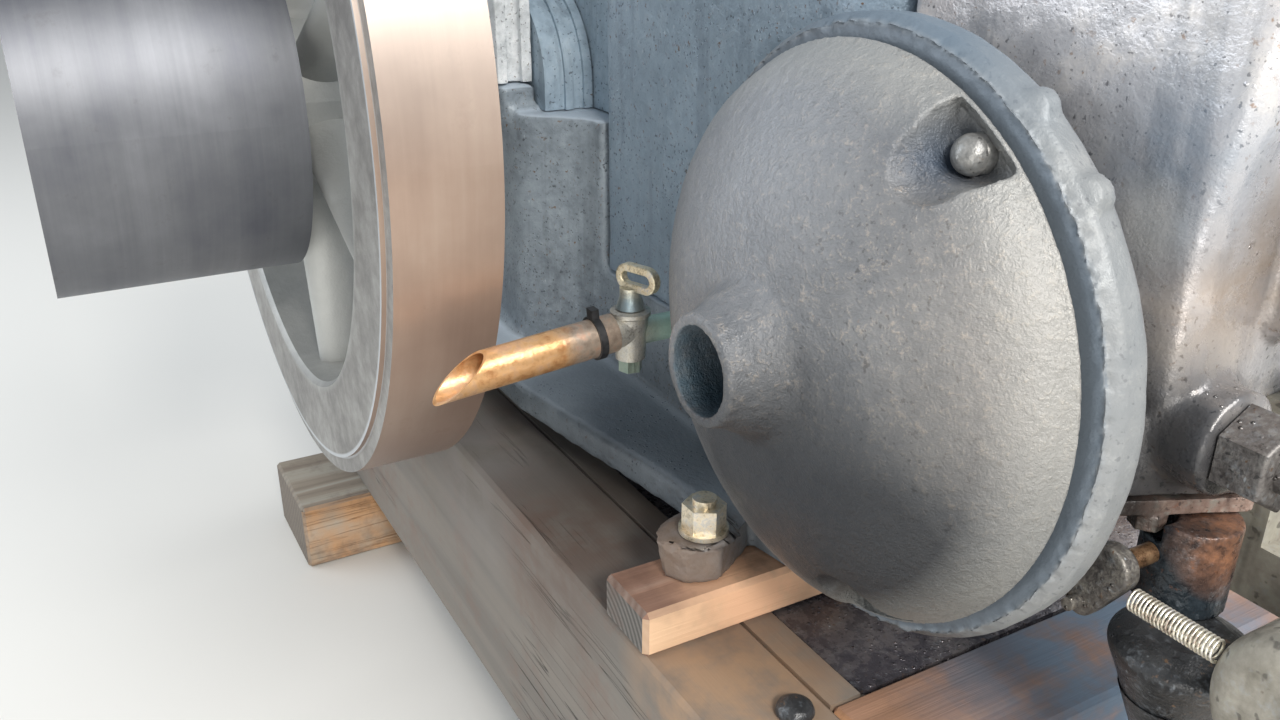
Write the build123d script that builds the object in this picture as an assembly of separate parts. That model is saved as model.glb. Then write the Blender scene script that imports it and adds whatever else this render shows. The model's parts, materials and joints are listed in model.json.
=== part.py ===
from build123d import *
from math import cos, radians, sin, tan
import os

os.makedirs("parts", exist_ok=True)

# Frame: +X from the crankshaft towards the cylinder head, -Y the belt pulley side, +Z up.
# The origin is the middle of the footprint, on the ground. All sizes are millimetres.

# Timber skid
sleeper_w = 100.0
sleeper_h = 60.0
sleeper_overhang = 60.0  # sleeper end beyond a rail's outer face
rail_len = 920.0
sleeper_inset = 90.0  # sleeper's middle from the end of the rails
rail_w = 58.0
rail_h = 165.0
rail_outer = 207.5  # from the engine's centre line to a rail's outer face
timber_chamfer = 2.5
batten_w = 17.0
batten_h = 40.0
batten_ledge = 16.0
board_w = 56.0
board_t = 32.0
board_x = 275.0
tray_t = 3.0
tray_rear_x = -330.0
tray_gap = 2.0
packing_w = 41.0
packing_len = 122.0
packing_h = 25.0

# Shaft line
belt_side = 418.0  # centre line to the outer end of the belt pulley
far_side = 357.0  # centre line to the far end of the crankshaft
crank_x = -170.0
crank_over_rail = 218.5
shaft_r = 22.0
shaft_hole_gap = 3.0  # free space round the shaft in thin covers
shaft_end_r = 19.0
shaft_end_len = 62.0
running_gap = 0.05

# Engine bed
bed_half_w = 139.0
bed_rear_x = -318.0
bed_floor = 14.0
ledge_drop = 16.0  # bed top below the shaft's centre
pit_corner = 18.0
pit_ledge = 5.0  # bed left under the edge of the crank guard
flange_half_w = 172.0
flange_front_half_w = 137.0
flange_taper_x = -46.0  # the flange narrows from here to the front
flange_rear_lip = 14.0
flange_front_lip = 19.0
flange_t = 20.0
flange_edge_r = 3.0
seat_depth = 20.0  # bearing seats below the ledge
foot_behind_muffler = 67.5
rear_foot_x = -285.0
foot_y = 163.0
foot_r = 24.0
foot_boss_h = 3.0
foot_root_share = 0.78  # where the lug runs into the flange, as a share of foot_y
foot_root_w = 84.0
foot_root_t = 8.0
foot_bolt_r = 6.0
foot_bolt_hole_gap = 1.0
nut_flats = 19.0
nut_h = 12.5
washer_r = 12.5
washer_t = 2.5
stud_proud = 3.5
stud_depth = 60.0  # stud length let into the rail

# Bearings
cap_half_w = 42.0
cap_rise = 46.0  # straight part of a cap above the shaft's centre
cap_inner = 119.0
cap_flange_t = 8.0
cap_web_t = 9.0
cap_recess = 7.0
cap_sole = 9.0  # solid foot of a cap under its recess
seat_rim = 5.0  # bearing seat beyond the cap, fore and aft
oil_cup_r = 11.0
oil_cup_h = 26.0
oil_stem_gap = 0.5

# Crank guard
guard_r = 95.0
guard_t = 3.0
guard_bead = 2.5
guard_bead_w = 6.0
guard_half_len = 84.0
guard_foot = 7.0
cover_side_gap = 1.0
cover_r = 58.0

# Cylinder and water hopper
hopper_rear_x = -65.0
hopper_behind_muffler = 40.5  # hopper's front face behind the muffler's axis
hopper_half_w = 102.0
hopper_wall = 9.0
hopper_floor_drop = 112.0  # hopper underside below the cylinder's axis
hopper_top_rise = 232.0
hopper_rear_corner = 11.0
hopper_front_corner = 30.0
hopper_lip = 6.0
hopper_lip_h = 16.0
barrel_r = 63.0

# Cylinder head
gasket_t = 2.0
head_reach = 2.2  # lower front beyond the lever's pivot
head_half_w = 88.0
head_drop = 87.5
head_rise = 135.0
head_round = 30.0
head_bulge = 14.0  # the upper front stands further out than the lower front
head_stud_y = 66.0
head_stud_low = 60.0
head_stud_high = 106.0
head_stud_r = 9.0
head_front_round = 12.0
head_nut_flats = 30.0
head_nut_h = 18.0
head_boss_r = 21.0
head_boss_h = 14.0
port_r = 30.0
port_root = 24.0  # port boss inside the head's side
valve_half_w = 46.0
valve_len = 46.0
valve_drop = 30.0
valve_rise = 76.0
valve_round = 12.0

# Muffler
muffler_below = 48.5  # muffler centre below the shaft's centre
muffler_wall_air = 1.0  # back of the pot to the hopper's side
dish_r = 114.5
dish_rise = 46.0
dish_t = 7.0
dish_band_w = 2.0  # flat band round the foot of the dome
dish_band_z = 3.5
dish_spigot = 6.0  # depth of the dish inside the pot
spigot_seat = 5.0  # width of the ledge that carries the dish
mouth_round = 2.5
pot_rim_w = 6.5
pot_lip = 5.0
pot_depth = 43.0
pot_taper_r = 17.0  # the back is this much smaller in radius
pot_taper_len = 20.0
pot_back_round = 7.0
pot_t = 7.0
joint_gap = 6.0
nozzle_reach = 67.0
nozzle_bore_r = 17.5
nozzle_mouth_r = 23.0
nozzle_root_r = 28.0
nozzle_sweep = 8.0  # width of the fillet round the nozzle's root
muffler_bolt_inset = 9.3  # bolt centre from the dish's edge
muffler_bolt_angles = (56.0, -68.0)
muffler_bolt_head_r = 7.2
pocket_r = 17.0
pocket_sink = 2.0  # pocket floor behind the joint face
pocket_scoop_r = 15.5
pocket_scoop_z = 25.0
pocket_wall = 4.0
lug_angles = (56.0, 40.0)
lug_r = 8.0
lug_len = 18.0
lug_set = 4.0

# Drain cock
cock_pot_air = 12.5  # cock's centre to the pot's edge
cock_forward = 18.5  # cock's centre beyond the joint face
cock_below = 91.5  # cock centre below the shaft's centre
cock_body_r = 9.3
cock_body_h = 27.0
cock_tail_r = 5.6
inlet_r = 7.0
cock_boss_r = 12.0
cock_boss_h = 6.0
spout_r = 10.0
spout_wall = 1.2
spout_len = 98.0
spout_droop = 5.0
outlet_rise = 3.0  # outlet above the middle of the cock
spout_overlap = 12.0
spout_wheel_air = 6.0  # side of the spout to the flywheel's tread
spout_cut = 56.0  # turn of the mitred end from square
cock_tail_gap = 0.5
cock_nut_h = 6.5
cock_nut_flats = 11.0
cock_neck_h = 11.0
cock_neck_r = 7.5
loop_len = 26.0
loop_w = 14.0
loop_bar = 4.0
loop_t = 5.0
loop_x = 5.0
loop_turn = 20.0  # handle's plane turned about the plug
band_w = 4.0
band_t = 1.4
band_lug = 6.0

# Fuel pump, control lever and spring
pump_ahead = 3.2  # pump's centre beyond the lever's pivot
pump_inside = 38.5  # pump's centre inside the lever's plane
pump_r = 17.5
pump_h = 37.0
pump_flange_t = 7.0
pump_flange_len = 56.0
pump_flange_w = 30.0
pump_flange_turn = -25.0
pump_flange_x = -13.7  # flange centre from the barrel's
pump_flange_y = 0.8
pump_flange_round = 4.0
pump_shoulder = 1.5
flange_bolt_x = 9.0  # bolt centre from the flange's middle, across it
flange_bolt_y = 17.0  # and from its near end
flange_bolt_flats = 13.0
flange_bolt_h = 7.0
spot_face_r = 10.0
spot_face_h = 9.0
pad_h = 9.0
neck_h = 34.0  # the pad's neck, up into the head's rounded corner
neck_front_x = 12.0  # front of the neck beyond the head's lower front
bowl_r = 26.0
bowl_x = 16.0
bowl_y = 15.5
bowl_h = 54.0
bowl_foot_r = 9.0
lever_inset = 17.7  # pivot inside the pot's edge, lengthwise
lever_back = 46.0  # lever's plane behind the joint face
lever_below = 108.5
lever_arm = 20.0
lever_angle = -115.4
lever_r = 9.5
lever_tip_r = 6.5
lever_t = 8.0
lever_face = 2.0  # metal between the pivot's end and the lever's face
lever_end_air = 0.2
pivot_r = 4.0
pin_r = 2.6
pin_len = 6.0
spring_r = 4.5
spring_wire = 1.0
spring_turns = 22
spring_len = 34.3
spring_ahead = 10.5
spring_below = 115.5
governor_r = 32.0
governor_ahead = 75.7
governor_below = 125.0
governor_len = 102.0
bracket_t = 12.0
bracket_w = 28.0
bracket_h = 24.0
bracket_foot_h = 34.0  # up the head's front
seat_gap = 0.2

# Flywheels and belt pulley
wheel_r = 241.0
wheel_w = 61.0
wheel_y = 251.5
rim_depth = 58.0
rim_step = 10.0
rim_step_h = 2.5
wheel_hub_r = 46.0
wheel_hub_w = 76.0
spokes = 6
spoke_root_w = 44.0
spoke_root_t = 26.0
spoke_tip_w = 32.0
spoke_tip_t = 20.0
pulley_r = 106.0
pulley_len = 137.0
pulley_shell = 7.0
pulley_web_t = 12.0
pulley_web_holes = 5
pulley_hole_r = 20.0
pulley_hub_r = 36.0
pulley_hub_set = 12.0  # hub's outer end inside the drum's edge

# Worked out from the driving sizes
mid_y = (belt_side - far_side) / 2
rail_top = sleeper_h + rail_h
bed_z = rail_top + packing_h
crank_z = rail_top + crank_over_rail
ledge_z = crank_z - ledge_drop
rail_inner = rail_outer - rail_w
muffler_z = crank_z - muffler_below
pump_top_z = crank_z - head_drop - pump_flange_t
cap_outer = cap_inner + 2 * cap_flange_t + cap_web_t
sleeper_front_x = rail_len / 2 - sleeper_inset
sleeper_rear_x = -sleeper_front_x
pot_r = dish_r + joint_gap + pot_rim_w
muffler_face = hopper_half_w + muffler_wall_air + pot_depth  # centre line to the dish's joint face
cock_x = crank_x + wheel_r + spout_r + spout_wheel_air
cock_y = muffler_face + cock_forward
muffler_x = cock_x + cock_pot_air + pot_r
front_foot_x = muffler_x - foot_behind_muffler
hopper_front_x = muffler_x - hopper_behind_muffler
head_x = hopper_front_x + gasket_t
lever_x = muffler_x + pot_r - lever_inset
lever_y = muffler_face - lever_back
head_front_x = lever_x + head_reach
pump_x = lever_x + pump_ahead
pump_y = lever_y - pump_inside
spring_x = lever_x + spring_ahead
governor_x = lever_x + governor_ahead
muffler_bolt_pcr = dish_r - muffler_bolt_inset
pulley_hole_pcr = pulley_r * 0.6
seat_half_w = cap_half_w + seat_rim


def place(x, y, z):
    """A location given from the engine's centre line."""
    return Pos(x, mid_y + y, z)


def block(x0, x1, y0, y1, z0, z1):
    """A box from its corners, y measured from the engine's centre line."""
    return place(x0, y0, z0) * Box(x1 - x0, y1 - y0, z1 - z0, align=(Align.MIN, Align.MIN, Align.MIN))


def rod(x, y, z, r, h, direction="Z"):
    """A round bar of radius r that starts at a point and runs h along an axis."""
    turn = {"Z": Rot(0, 0, 0), "X": Rot(0, 90, 0), "Y": Rot(-90, 0, 0)}[direction]
    return place(x, y, z) * turn * Cylinder(r, h, align=(Align.CENTER, Align.CENTER, Align.MIN))


def hexagon(x, y, z, flats, h, direction="Z"):
    """A hexagonal prism measured across its flats."""
    turn = {"Z": Rot(0, 0, 0), "X": Rot(0, 90, 0), "Y": Rot(-90, 0, 0)}[direction]
    outline = RegularPolygon(flats / 2, 6, major_radius=False)
    return place(x, y, z) * turn * extrude(outline, h)


def save(name, shape):
    export_step(shape, f"parts/{name}.step")


def both(maker):
    """The same piece on both sides of the centre line."""
    return Compound(children=[maker(-1), maker(1)])


def timber(x0, x1, y0, y1, z0, z1):
    beam = block(x0, x1, y0, y1, z0, z1)
    return chamfer(beam.edges(), timber_chamfer)


def skid_rail(side):
    y0, y1 = sorted((side * rail_outer, side * rail_inner))
    rail = timber(-rail_len / 2, rail_len / 2, y0, y1, sleeper_h, rail_top)
    for x in (rear_foot_x, front_foot_x):
        rail -= rod(x, side * foot_y, rail_top - stud_depth, foot_bolt_r, stud_depth)
    return rail


def sleeper(x):
    half = rail_outer + sleeper_overhang
    return timber(x - sleeper_w / 2, x + sleeper_w / 2, -half, half, 0, sleeper_h)


def batten(side):
    """A strip on a rail's inner face, with a ledge that carries the drip plate."""
    outer = rail_inner
    inner = rail_inner - batten_w
    step_z = rail_top - tray_gap - tray_t
    outline = Polyline(
        (outer, rail_top),
        (inner, rail_top),
        (inner, step_z),
        (inner - batten_ledge, step_z),
        (inner - batten_ledge, rail_top - batten_h),
        (outer, rail_top - batten_h),
        close=True,
    )
    length = board_x - board_w / 2 - tray_rear_x
    face = Plane.YZ * make_face(outline)
    strip = extrude(face, length)
    if side < 0:
        strip = mirror(strip, Plane.XZ)
    return place(tray_rear_x, 0, 0) * strip


def drip_plate():
    half = rail_inner - batten_w - tray_gap
    x1 = board_x - board_w / 2 - tray_gap
    z1 = rail_top - tray_gap
    plate = block(tray_rear_x, x1, -half, half, z1 - tray_t, z1)
    return fillet(plate.edges().filter_by(Axis.Z), 6)


def cross_board():
    return timber(
        board_x - board_w / 2, board_x + board_w / 2, -rail_inner, rail_inner, rail_top - board_t, rail_top
    )


def packing_blocks():
    blocks = []
    for x in (rear_foot_x, front_foot_x):
        for side in (-1, 1):
            y0, y1 = sorted((side * rail_outer, side * (rail_outer - packing_len)))
            piece = timber(x - packing_w / 2, x + packing_w / 2, y0, y1, rail_top, bed_z)
            blocks.append(piece - rod(x, side * foot_y, rail_top, foot_bolt_r, packing_h))
    return Compound(children=blocks)


def foot_points():
    return [(x, side * foot_y) for x in (rear_foot_x, front_foot_x) for side in (-1, 1)]


def flange_plan():
    """Half plan of the base flange, with its side running in towards the front."""
    x0 = bed_rear_x - flange_rear_lip
    x1 = front_foot_x + flange_front_lip
    corners = [
        (x0, 0),
        (x0, flange_half_w),
        (flange_taper_x, flange_half_w),
        (x1, flange_front_half_w),
        (x1, 0),
    ]
    return make_face(Polyline(*corners, close=True))


def case_plan():
    """Half plan of the crankcase, which narrows from the bearings to the hopper's side."""
    x0 = bed_rear_x
    knee = crank_x + cap_half_w
    edge = [
        Line((x0, 0), (x0, bed_half_w)),
        Line((x0, bed_half_w), (knee, bed_half_w)),
        Spline((knee, bed_half_w), (hopper_rear_x, hopper_half_w), tangents=((1, 0), (1, 0))),
        Line((hopper_rear_x, hopper_half_w), (hopper_front_x, hopper_half_w)),
        Line((hopper_front_x, hopper_half_w), (hopper_front_x, 0)),
        Line((hopper_front_x, 0), (x0, 0)),
    ]
    return make_face(Wire(edge))


def whole(half):
    """A half on the +Y side of the centre line, joined to its mirror image."""
    return half + mirror(half, Plane.XZ)


def engine_bed():
    flange = whole(extrude(flange_plan(), flange_t))
    bed = place(0, 0, bed_z) * fillet(flange.faces().sort_by(Axis.Z)[-1].outer_wire().edges(), flange_edge_r)
    body = place(0, 0, bed_z) * whole(extrude(case_plan(), ledge_z - bed_z))
    saddle_z = crank_z - hopper_floor_drop
    bed += body - block(hopper_rear_x, hopper_front_x + 1, -flange_half_w, flange_half_w, saddle_z, crank_z)
    for sign in (-1, 1):
        y0, y1 = sorted((sign * cap_inner, sign * cap_outer))
        seat = block(crank_x - seat_half_w, crank_x + seat_half_w, y0, y1, ledge_z - seat_depth, crank_z)
        lower = seat.edges().filter_by(Axis.Y).sort_by(Axis.Z)[:2]
        bed += chamfer(lower, seat_depth * 0.7)
    reach = guard_r - pit_ledge
    half = guard_half_len - pit_ledge
    pit = block(crank_x - reach, crank_x + reach, -half, half, bed_z + bed_floor, crank_z)
    bed -= fillet(pit.edges().filter_by(Axis.Z), pit_corner)
    for x, y in foot_points():
        root = Pos(x, foot_root_share * y) * Rectangle(foot_root_w, foot_root_t)
        lug = make_hull([*(Pos(x, y) * Circle(foot_r)).edges(), *root.edges()])
        bed += place(0, 0, bed_z) * extrude(lug, flange_t)
        bed += rod(x, y, bed_z + flange_t, foot_r - 5, foot_boss_h)
    for x, y in foot_points():
        bed -= rod(x, y, bed_z - 1, foot_bolt_r + foot_bolt_hole_gap, flange_t + foot_boss_h + 2)
    bed -= rod(crank_x, -cap_outer - 1, crank_z, shaft_r + running_gap, 2 * cap_outer + 2, "Y")
    return bed


def foundation_bolts():
    """Stud, washer and nut at each foot."""
    parts = []
    seat_z = bed_z + flange_t + foot_boss_h
    for x, y in foot_points():
        stud_len = seat_z + washer_t + nut_h + stud_proud - rail_top + stud_depth
        bolt = rod(x, y, rail_top - stud_depth, foot_bolt_r, stud_len)
        bolt += rod(x, y, seat_z, washer_r, washer_t)
        nut = hexagon(x, y, seat_z + washer_t, nut_flats, nut_h)
        bolt += nut
        parts.append(bolt)
    return Compound(children=parts)


def bearing_cap(side):
    """A tall cap with an I section: two flanges, a recessed web and a round top."""
    length = cap_outer - cap_inner

    def arch(half, rise, depth, y, z=0.0):
        straight = Pos(0, (rise + z) / 2) * Rectangle(2 * half, rise - z)
        top = Pos(0, rise) * Circle(half)
        return Pos(0, y, 0) * extrude(Plane.XZ * (straight + top), -depth)

    body = arch(cap_half_w, cap_rise, length, 0)
    ring = arch(2 * cap_half_w, cap_rise, cap_web_t, cap_flange_t, cap_sole)
    core = arch(cap_half_w - cap_recess, cap_rise, cap_web_t, cap_flange_t)
    body -= ring - core
    body -= Rot(-90, 0, 0) * Cylinder(shaft_r + running_gap, 3 * length)
    body = place(crank_x, cap_inner, crank_z) * body
    if side < 0:
        body = mirror(body, Plane.XZ.offset(-mid_y))
    return body


def oil_cup(side):
    """A screwed oil cup with a domed lid, its stem in the groove on top of a cap."""
    z = cap_rise + cap_half_w - cap_recess
    top = z + cap_recess
    stem_r = cap_web_t / 2 - oil_stem_gap
    profile = Polyline(
        (0, z),
        (stem_r, z),
        (stem_r, top + 5),
        (oil_cup_r, top + 9),
        (oil_cup_r, top + oil_cup_h - 4),
        (oil_cup_r - 4, top + oil_cup_h),
        (0, top + oil_cup_h + 1),
        close=True,
    )
    cup = revolve(Plane.XZ * make_face(profile), Axis.Z)
    hexagonal = Pos(0, 0, top + 2) * extrude(RegularPolygon(7, 6, major_radius=False), 5)
    middle = (cap_inner + cap_outer) / 2
    return place(crank_x, side * middle, crank_z) * (cup + hexagonal)


def half_drum(r, y0, y1):
    """A drum about the shaft, cut off at the ledge of the bed. It lies on the centre line."""
    outline = Circle(r) + Pos(0, -r / 2) * Rectangle(2 * r, r)
    shape = Pos(0, y0, 0) * extrude(Plane.XZ * outline, -(y1 - y0))
    size = 8 * (r + abs(y0) + abs(y1))
    under = Box(size, size, size, align=(Align.CENTER, Align.CENTER, Align.MAX))
    return shape - Pos(0, 0, -ledge_drop) * under


def shaft_way(half):
    """The free way for the shaft through a cover that is dropped over it."""
    hole = Rot(-90, 0, 0) * Cylinder(shaft_r + shaft_hole_gap, 2 * half)
    slot = Pos(0, 0, -ledge_drop / 2) * Box(2 * (shaft_r + shaft_hole_gap), 2 * half, ledge_drop)
    return hole + slot


def crank_guard():
    """A bent sheet over the crank pit, with beaded ends."""
    half = guard_half_len
    guard = half_drum(guard_r, -half, half) - half_drum(guard_r - guard_t, -half + guard_t, half - guard_t)
    for y in (-half, half - guard_bead_w):
        bead = half_drum(guard_r + guard_bead, y, y + guard_bead_w)
        guard += bead - half_drum(guard_r - guard_t, y, y + guard_bead_w)
    guard -= shaft_way(2 * half)
    for sx in (-1, 1):
        foot = Pos(sx * (guard_r + guard_foot / 2 - 1), 0, -ledge_drop)
        strip = Box(guard_foot + 2, 2 * half - 20, guard_t, align=(Align.CENTER, Align.CENTER, Align.MIN))
        guard += foot * strip
    return place(crank_x, 0, crank_z) * guard


def shaft_cover(side):
    """A pressed round cover over the shaft, between the guard and a bearing."""
    y0 = guard_half_len + cover_side_gap
    y1 = cap_inner - cover_side_gap
    cover = half_drum(cover_r, y0, y1) - half_drum(cover_r - guard_t, y0 - 1, y1 - guard_t)
    for y in (y0, (y0 + y1) / 2 - guard_t):
        bead = half_drum(cover_r + guard_bead, y, y + guard_bead_w)
        cover += bead - half_drum(cover_r - guard_t, y, y + guard_bead_w)
    cover -= shaft_way(2 * y1)
    cover = place(crank_x, 0, crank_z) * cover
    if side < 0:
        cover = mirror(cover, Plane.XZ.offset(-mid_y))
    return cover


def rounded_box(x0, x1, half_w, z0, z1, rear_r, front_r):
    """An upright box with one radius on its two rear corners and one on its front corners."""
    box = block(x0, x1, -half_w, half_w, z0, z1)
    box = fillet(box.edges().filter_by(Axis.Z).sort_by(Axis.X)[:2], rear_r)
    return fillet(box.edges().filter_by(Axis.Z).sort_by(Axis.X)[-2:], front_r)


def cylinder_hopper():
    """Cylinder barrel inside an open water hopper, one casting."""
    z0 = crank_z - hopper_floor_drop
    z1 = crank_z + hopper_top_rise
    rear_r = hopper_rear_corner
    front_r = hopper_front_corner
    outer = rounded_box(hopper_rear_x, hopper_front_x, hopper_half_w, z0, z1, rear_r, front_r)
    inner = rounded_box(
        hopper_rear_x + hopper_wall,
        hopper_front_x - hopper_wall,
        hopper_half_w - hopper_wall,
        z0 + hopper_wall,
        z1 + 1,
        max(rear_r - hopper_wall, 4),
        max(front_r - hopper_wall, 4),
    )
    lip = rounded_box(
        hopper_rear_x - hopper_lip,
        hopper_front_x + hopper_lip,
        hopper_half_w + hopper_lip,
        z1 - hopper_lip_h,
        z1,
        rear_r + hopper_lip,
        front_r + hopper_lip,
    )
    shell = outer + fillet(lip.faces().sort_by(Axis.Z)[0].edges(), hopper_lip * 0.7) - inner
    shell += rod(hopper_rear_x, 0, crank_z, barrel_r, hopper_front_x - hopper_rear_x, "X")
    cock_z = crank_z - cock_below
    for y in (-hopper_half_w - cock_boss_h, hopper_half_w - cock_boss_h):
        shell += rod(cock_x, y, cock_z, cock_boss_r, 2 * cock_boss_h, "Y")
    start = -hopper_half_w - cock_boss_h - 1
    shell -= rod(cock_x, start, cock_z, inlet_r, hopper_wall + cock_boss_h + 3, "Y")
    return shell


def head_studs():
    """The head's stud places, y from the centre line and height from the shaft's centre."""
    return [(y, z) for y in (-head_stud_y, head_stud_y) for z in (-head_stud_low, head_stud_high)]


def cylinder_head():
    """A head casting whose rounded front swells towards the top, with stud bosses and a port boss."""
    profile = Wire(
        [
            Line((head_x, -head_drop), (head_front_x, -head_drop)),
            Line((head_front_x, -head_drop), (head_front_x, 0)),
            Spline(
                (head_front_x, 0),
                (head_front_x + head_bulge, head_rise * 0.8),
                tangents=((0, 1), (0, 1)),
            ),
            Line((head_front_x + head_bulge, head_rise * 0.8), (head_front_x + head_bulge, head_rise)),
            Line((head_front_x + head_bulge, head_rise), (head_x, head_rise)),
            Line((head_x, head_rise), (head_x, -head_drop)),
        ]
    )
    body = extrude(Plane.XZ * make_face(profile), head_half_w, both=True)
    body = fillet(body.edges().filter_by(Axis.X), head_round)
    front = [e for e in body.edges() if e.center().X > head_front_x - 1]
    body = place(0, 0, crank_z) * fillet(front, head_front_round)
    for y, z in head_studs():
        body += rod(head_x + 10, y, crank_z + z, head_boss_r, head_front_x - head_x - 10 + head_boss_h, "X")
    port_len = muffler_face - pot_depth - head_half_w + port_root
    port = rod(muffler_x, -head_half_w - port_len + port_root, muffler_z, port_r, port_len, "Y")
    seat = block(
        head_front_x - 1,
        head_front_x + head_bulge,
        -valve_half_w,
        valve_half_w,
        crank_z - valve_drop,
        crank_z + valve_rise,
    )
    body += fillet(seat.edges().filter_by(Axis.X), valve_round)
    pad = pump_flange_frame(crank_z - head_drop) * extrude(pump_flange_outline(), pad_h)
    neck = pump_flange_frame(crank_z - head_drop) * extrude(pump_flange_outline(), neck_h)
    x0 = head_front_x + neck_front_x
    neck -= block(x0, x0 + pump_flange_len, -head_half_w, head_half_w, 0, crank_z)
    return body + port + pad + neck


def gasket():
    z0 = crank_z - head_drop + 8
    z1 = crank_z + head_rise - 8
    return block(hopper_front_x, head_x, -head_half_w + 6, head_half_w - 6, z0, z1)


def head_nuts():
    nuts = []
    x = head_front_x + head_boss_h + seat_gap
    for y, z in head_studs():
        nut = hexagon(x, y, crank_z + z, head_nut_flats, head_nut_h, "X")
        nut = fillet(nut.faces().sort_by(Axis.X)[-1].edges(), 1.5)
        nuts.append(nut + rod(x, y, crank_z + z, head_stud_r, head_nut_h + 8, "X"))
    return Compound(children=nuts)


def valve_cover():
    x0 = head_front_x + head_bulge + seat_gap
    cover = block(
        x0,
        x0 + valve_len,
        -valve_half_w,
        valve_half_w,
        crank_z - valve_drop,
        crank_z + valve_rise,
    )
    cover = fillet(cover.edges().filter_by(Axis.X), valve_round)
    return fillet(cover.faces().sort_by(Axis.X)[-1].edges(), valve_round - 3)


def muffler_place():
    return place(muffler_x, -muffler_face, muffler_z) * Rot(90, 0, 0)


def muffler_pot():
    """Rear half: a pot with a tapered back, whose raised lip stands round the edge of the dish."""
    inner_r = dish_r + joint_gap
    seat_r = dish_r - spigot_seat
    back_r = pot_r - pot_taper_r
    knee_z = -pot_depth + pot_taper_len
    outline = Polyline(
        (0, -pot_depth),
        (back_r, -pot_depth),
        (pot_r, knee_z),
        (pot_r, 0),
        (pot_r - 1, pot_lip),
        (inner_r, pot_lip),
        (inner_r, -dish_spigot),
        (seat_r, -dish_spigot),
        (seat_r, knee_z),
        (back_r - 4, -pot_depth + pot_t),
        (0, -pot_depth + pot_t),
        close=True,
    )
    face = make_face(outline)
    back = face.vertices().sort_by_distance((back_r, -pot_depth))[0]
    knee = face.vertices().sort_by_distance((pot_r, knee_z))[0]
    face = fillet([back, knee], pot_back_round)
    pot = revolve(Plane.XZ * face, Axis.Z)
    for angle in lug_angles:
        r = pot_r - lug_r / 2
        spot = Pos(r * cos(radians(angle)), r * sin(radians(angle)), -lug_set)
        lug = spot * Cylinder(lug_r, lug_len, align=(Align.CENTER, Align.CENTER, Align.MAX))
        lug = fillet(lug.faces().sort_by(Axis.Z)[-1].edges(), 2)
        pot += lug - Cylinder(pot_r - pot_rim_w, 200)
    pot -= Pos(0, 0, -pot_depth) * Cylinder(nozzle_bore_r, 4 * pot_t)
    return muffler_place() * pot


def dish_form():
    """The outside of the dish with its nozzle, as one solid of revolution."""
    foot_r = dish_r - dish_band_w
    root = nozzle_root_r + nozzle_sweep
    crown = dish_rise - 2
    outline = Wire(
        [
            Line((0, -dish_spigot), (dish_r, -dish_spigot)),
            Line((dish_r, -dish_spigot), (dish_r, dish_band_z - 1.5)),
            Line((dish_r, dish_band_z - 1.5), (dish_r - 1.5, dish_band_z)),
            Line((dish_r - 1.5, dish_band_z), (foot_r, dish_band_z)),
            Spline(
                (foot_r, dish_band_z),
                (foot_r - 5, dish_band_z + 11),
                (foot_r - 39, crown * 0.78),
                (root, crown),
                tangents=((-0.25, 1), (-1, 0.2)),
            ),
            Spline(
                (root, crown),
                (nozzle_root_r, crown + 8),
                (nozzle_mouth_r, nozzle_reach - mouth_round),
                tangents=((-1, 0.2), (-0.1, 1)),
            ),
            RadiusArc(
                (nozzle_mouth_r, nozzle_reach - mouth_round),
                (nozzle_mouth_r - mouth_round, nozzle_reach),
                -mouth_round,
            ),
            Line((nozzle_mouth_r - mouth_round, nozzle_reach), (0, nozzle_reach)),
            Line((0, nozzle_reach), (0, -dish_spigot)),
        ]
    )
    return revolve(Plane.XZ * make_face(outline), Axis.Z)


def dish_hollow():
    """The room inside the dish, a wall's thickness under the dome."""
    foot_r = dish_r - dish_band_w - dish_t
    root = nozzle_root_r + nozzle_sweep
    crown = dish_rise - 2 - dish_t
    outline = Wire(
        [
            Line((0, -dish_spigot), (foot_r, -dish_spigot)),
            Line((foot_r, -dish_spigot), (foot_r, 0)),
            Spline((foot_r, 0), (foot_r - 32, crown * 0.76), (root, crown), tangents=((-0.25, 1), (-1, 0.2))),
            Line((root, crown), (0, crown)),
            Line((0, crown), (0, -dish_spigot)),
        ]
    )
    return revolve(Plane.XZ * make_face(outline), Axis.Z)


def muffler_dish():
    """Front half: a domed dish with a swept nozzle and scooped half-round bolt pockets."""
    form = dish_form()
    dish = form - dish_hollow() - Cylinder(nozzle_bore_r, 4 * nozzle_reach)
    inside = Cylinder(dish_r - dish_band_w, 4 * nozzle_reach)
    wall_r = pocket_r + pocket_wall
    for angle in muffler_bolt_angles:
        spot = Rot(0, 0, angle)
        edge = spot * Pos(dish_r - dish_band_w, 0, -dish_spigot)
        height = dish_spigot + pocket_scoop_z
        boss = edge * Cylinder(wall_r, height, align=(Align.CENTER, Align.CENTER, Align.MIN))
        middle = spot * Pos(muffler_bolt_pcr, 0, pocket_scoop_z)
        boss += middle * Sphere(pocket_scoop_r + pocket_wall)
        dish += boss & form & inside
        scoop = middle * Sphere(pocket_scoop_r)
        well = spot * Pos(dish_r - dish_band_w, 0, -pocket_sink) * Cylinder(
            pocket_r, 2 * dish_rise, align=(Align.CENTER, Align.CENTER, Align.MIN)
        )
        dish -= (scoop + well) & inside
    return muffler_place() * dish


def muffler_bolts():
    """Round-headed bolts on the floors of the pockets."""
    bolts = []
    half = 4 * muffler_bolt_head_r
    for angle in muffler_bolt_angles:
        head = Sphere(muffler_bolt_head_r) & Pos(0, 0, half / 2) * Box(half, half, half)
        spot = Rot(0, 0, angle) * Pos(muffler_bolt_pcr, 0, seat_gap - pocket_sink)
        bolts.append(muffler_place() * spot * head)
    return Compound(children=bolts)


def cock_frame():
    return place(cock_x, -cock_y, crank_z - cock_below)


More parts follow.
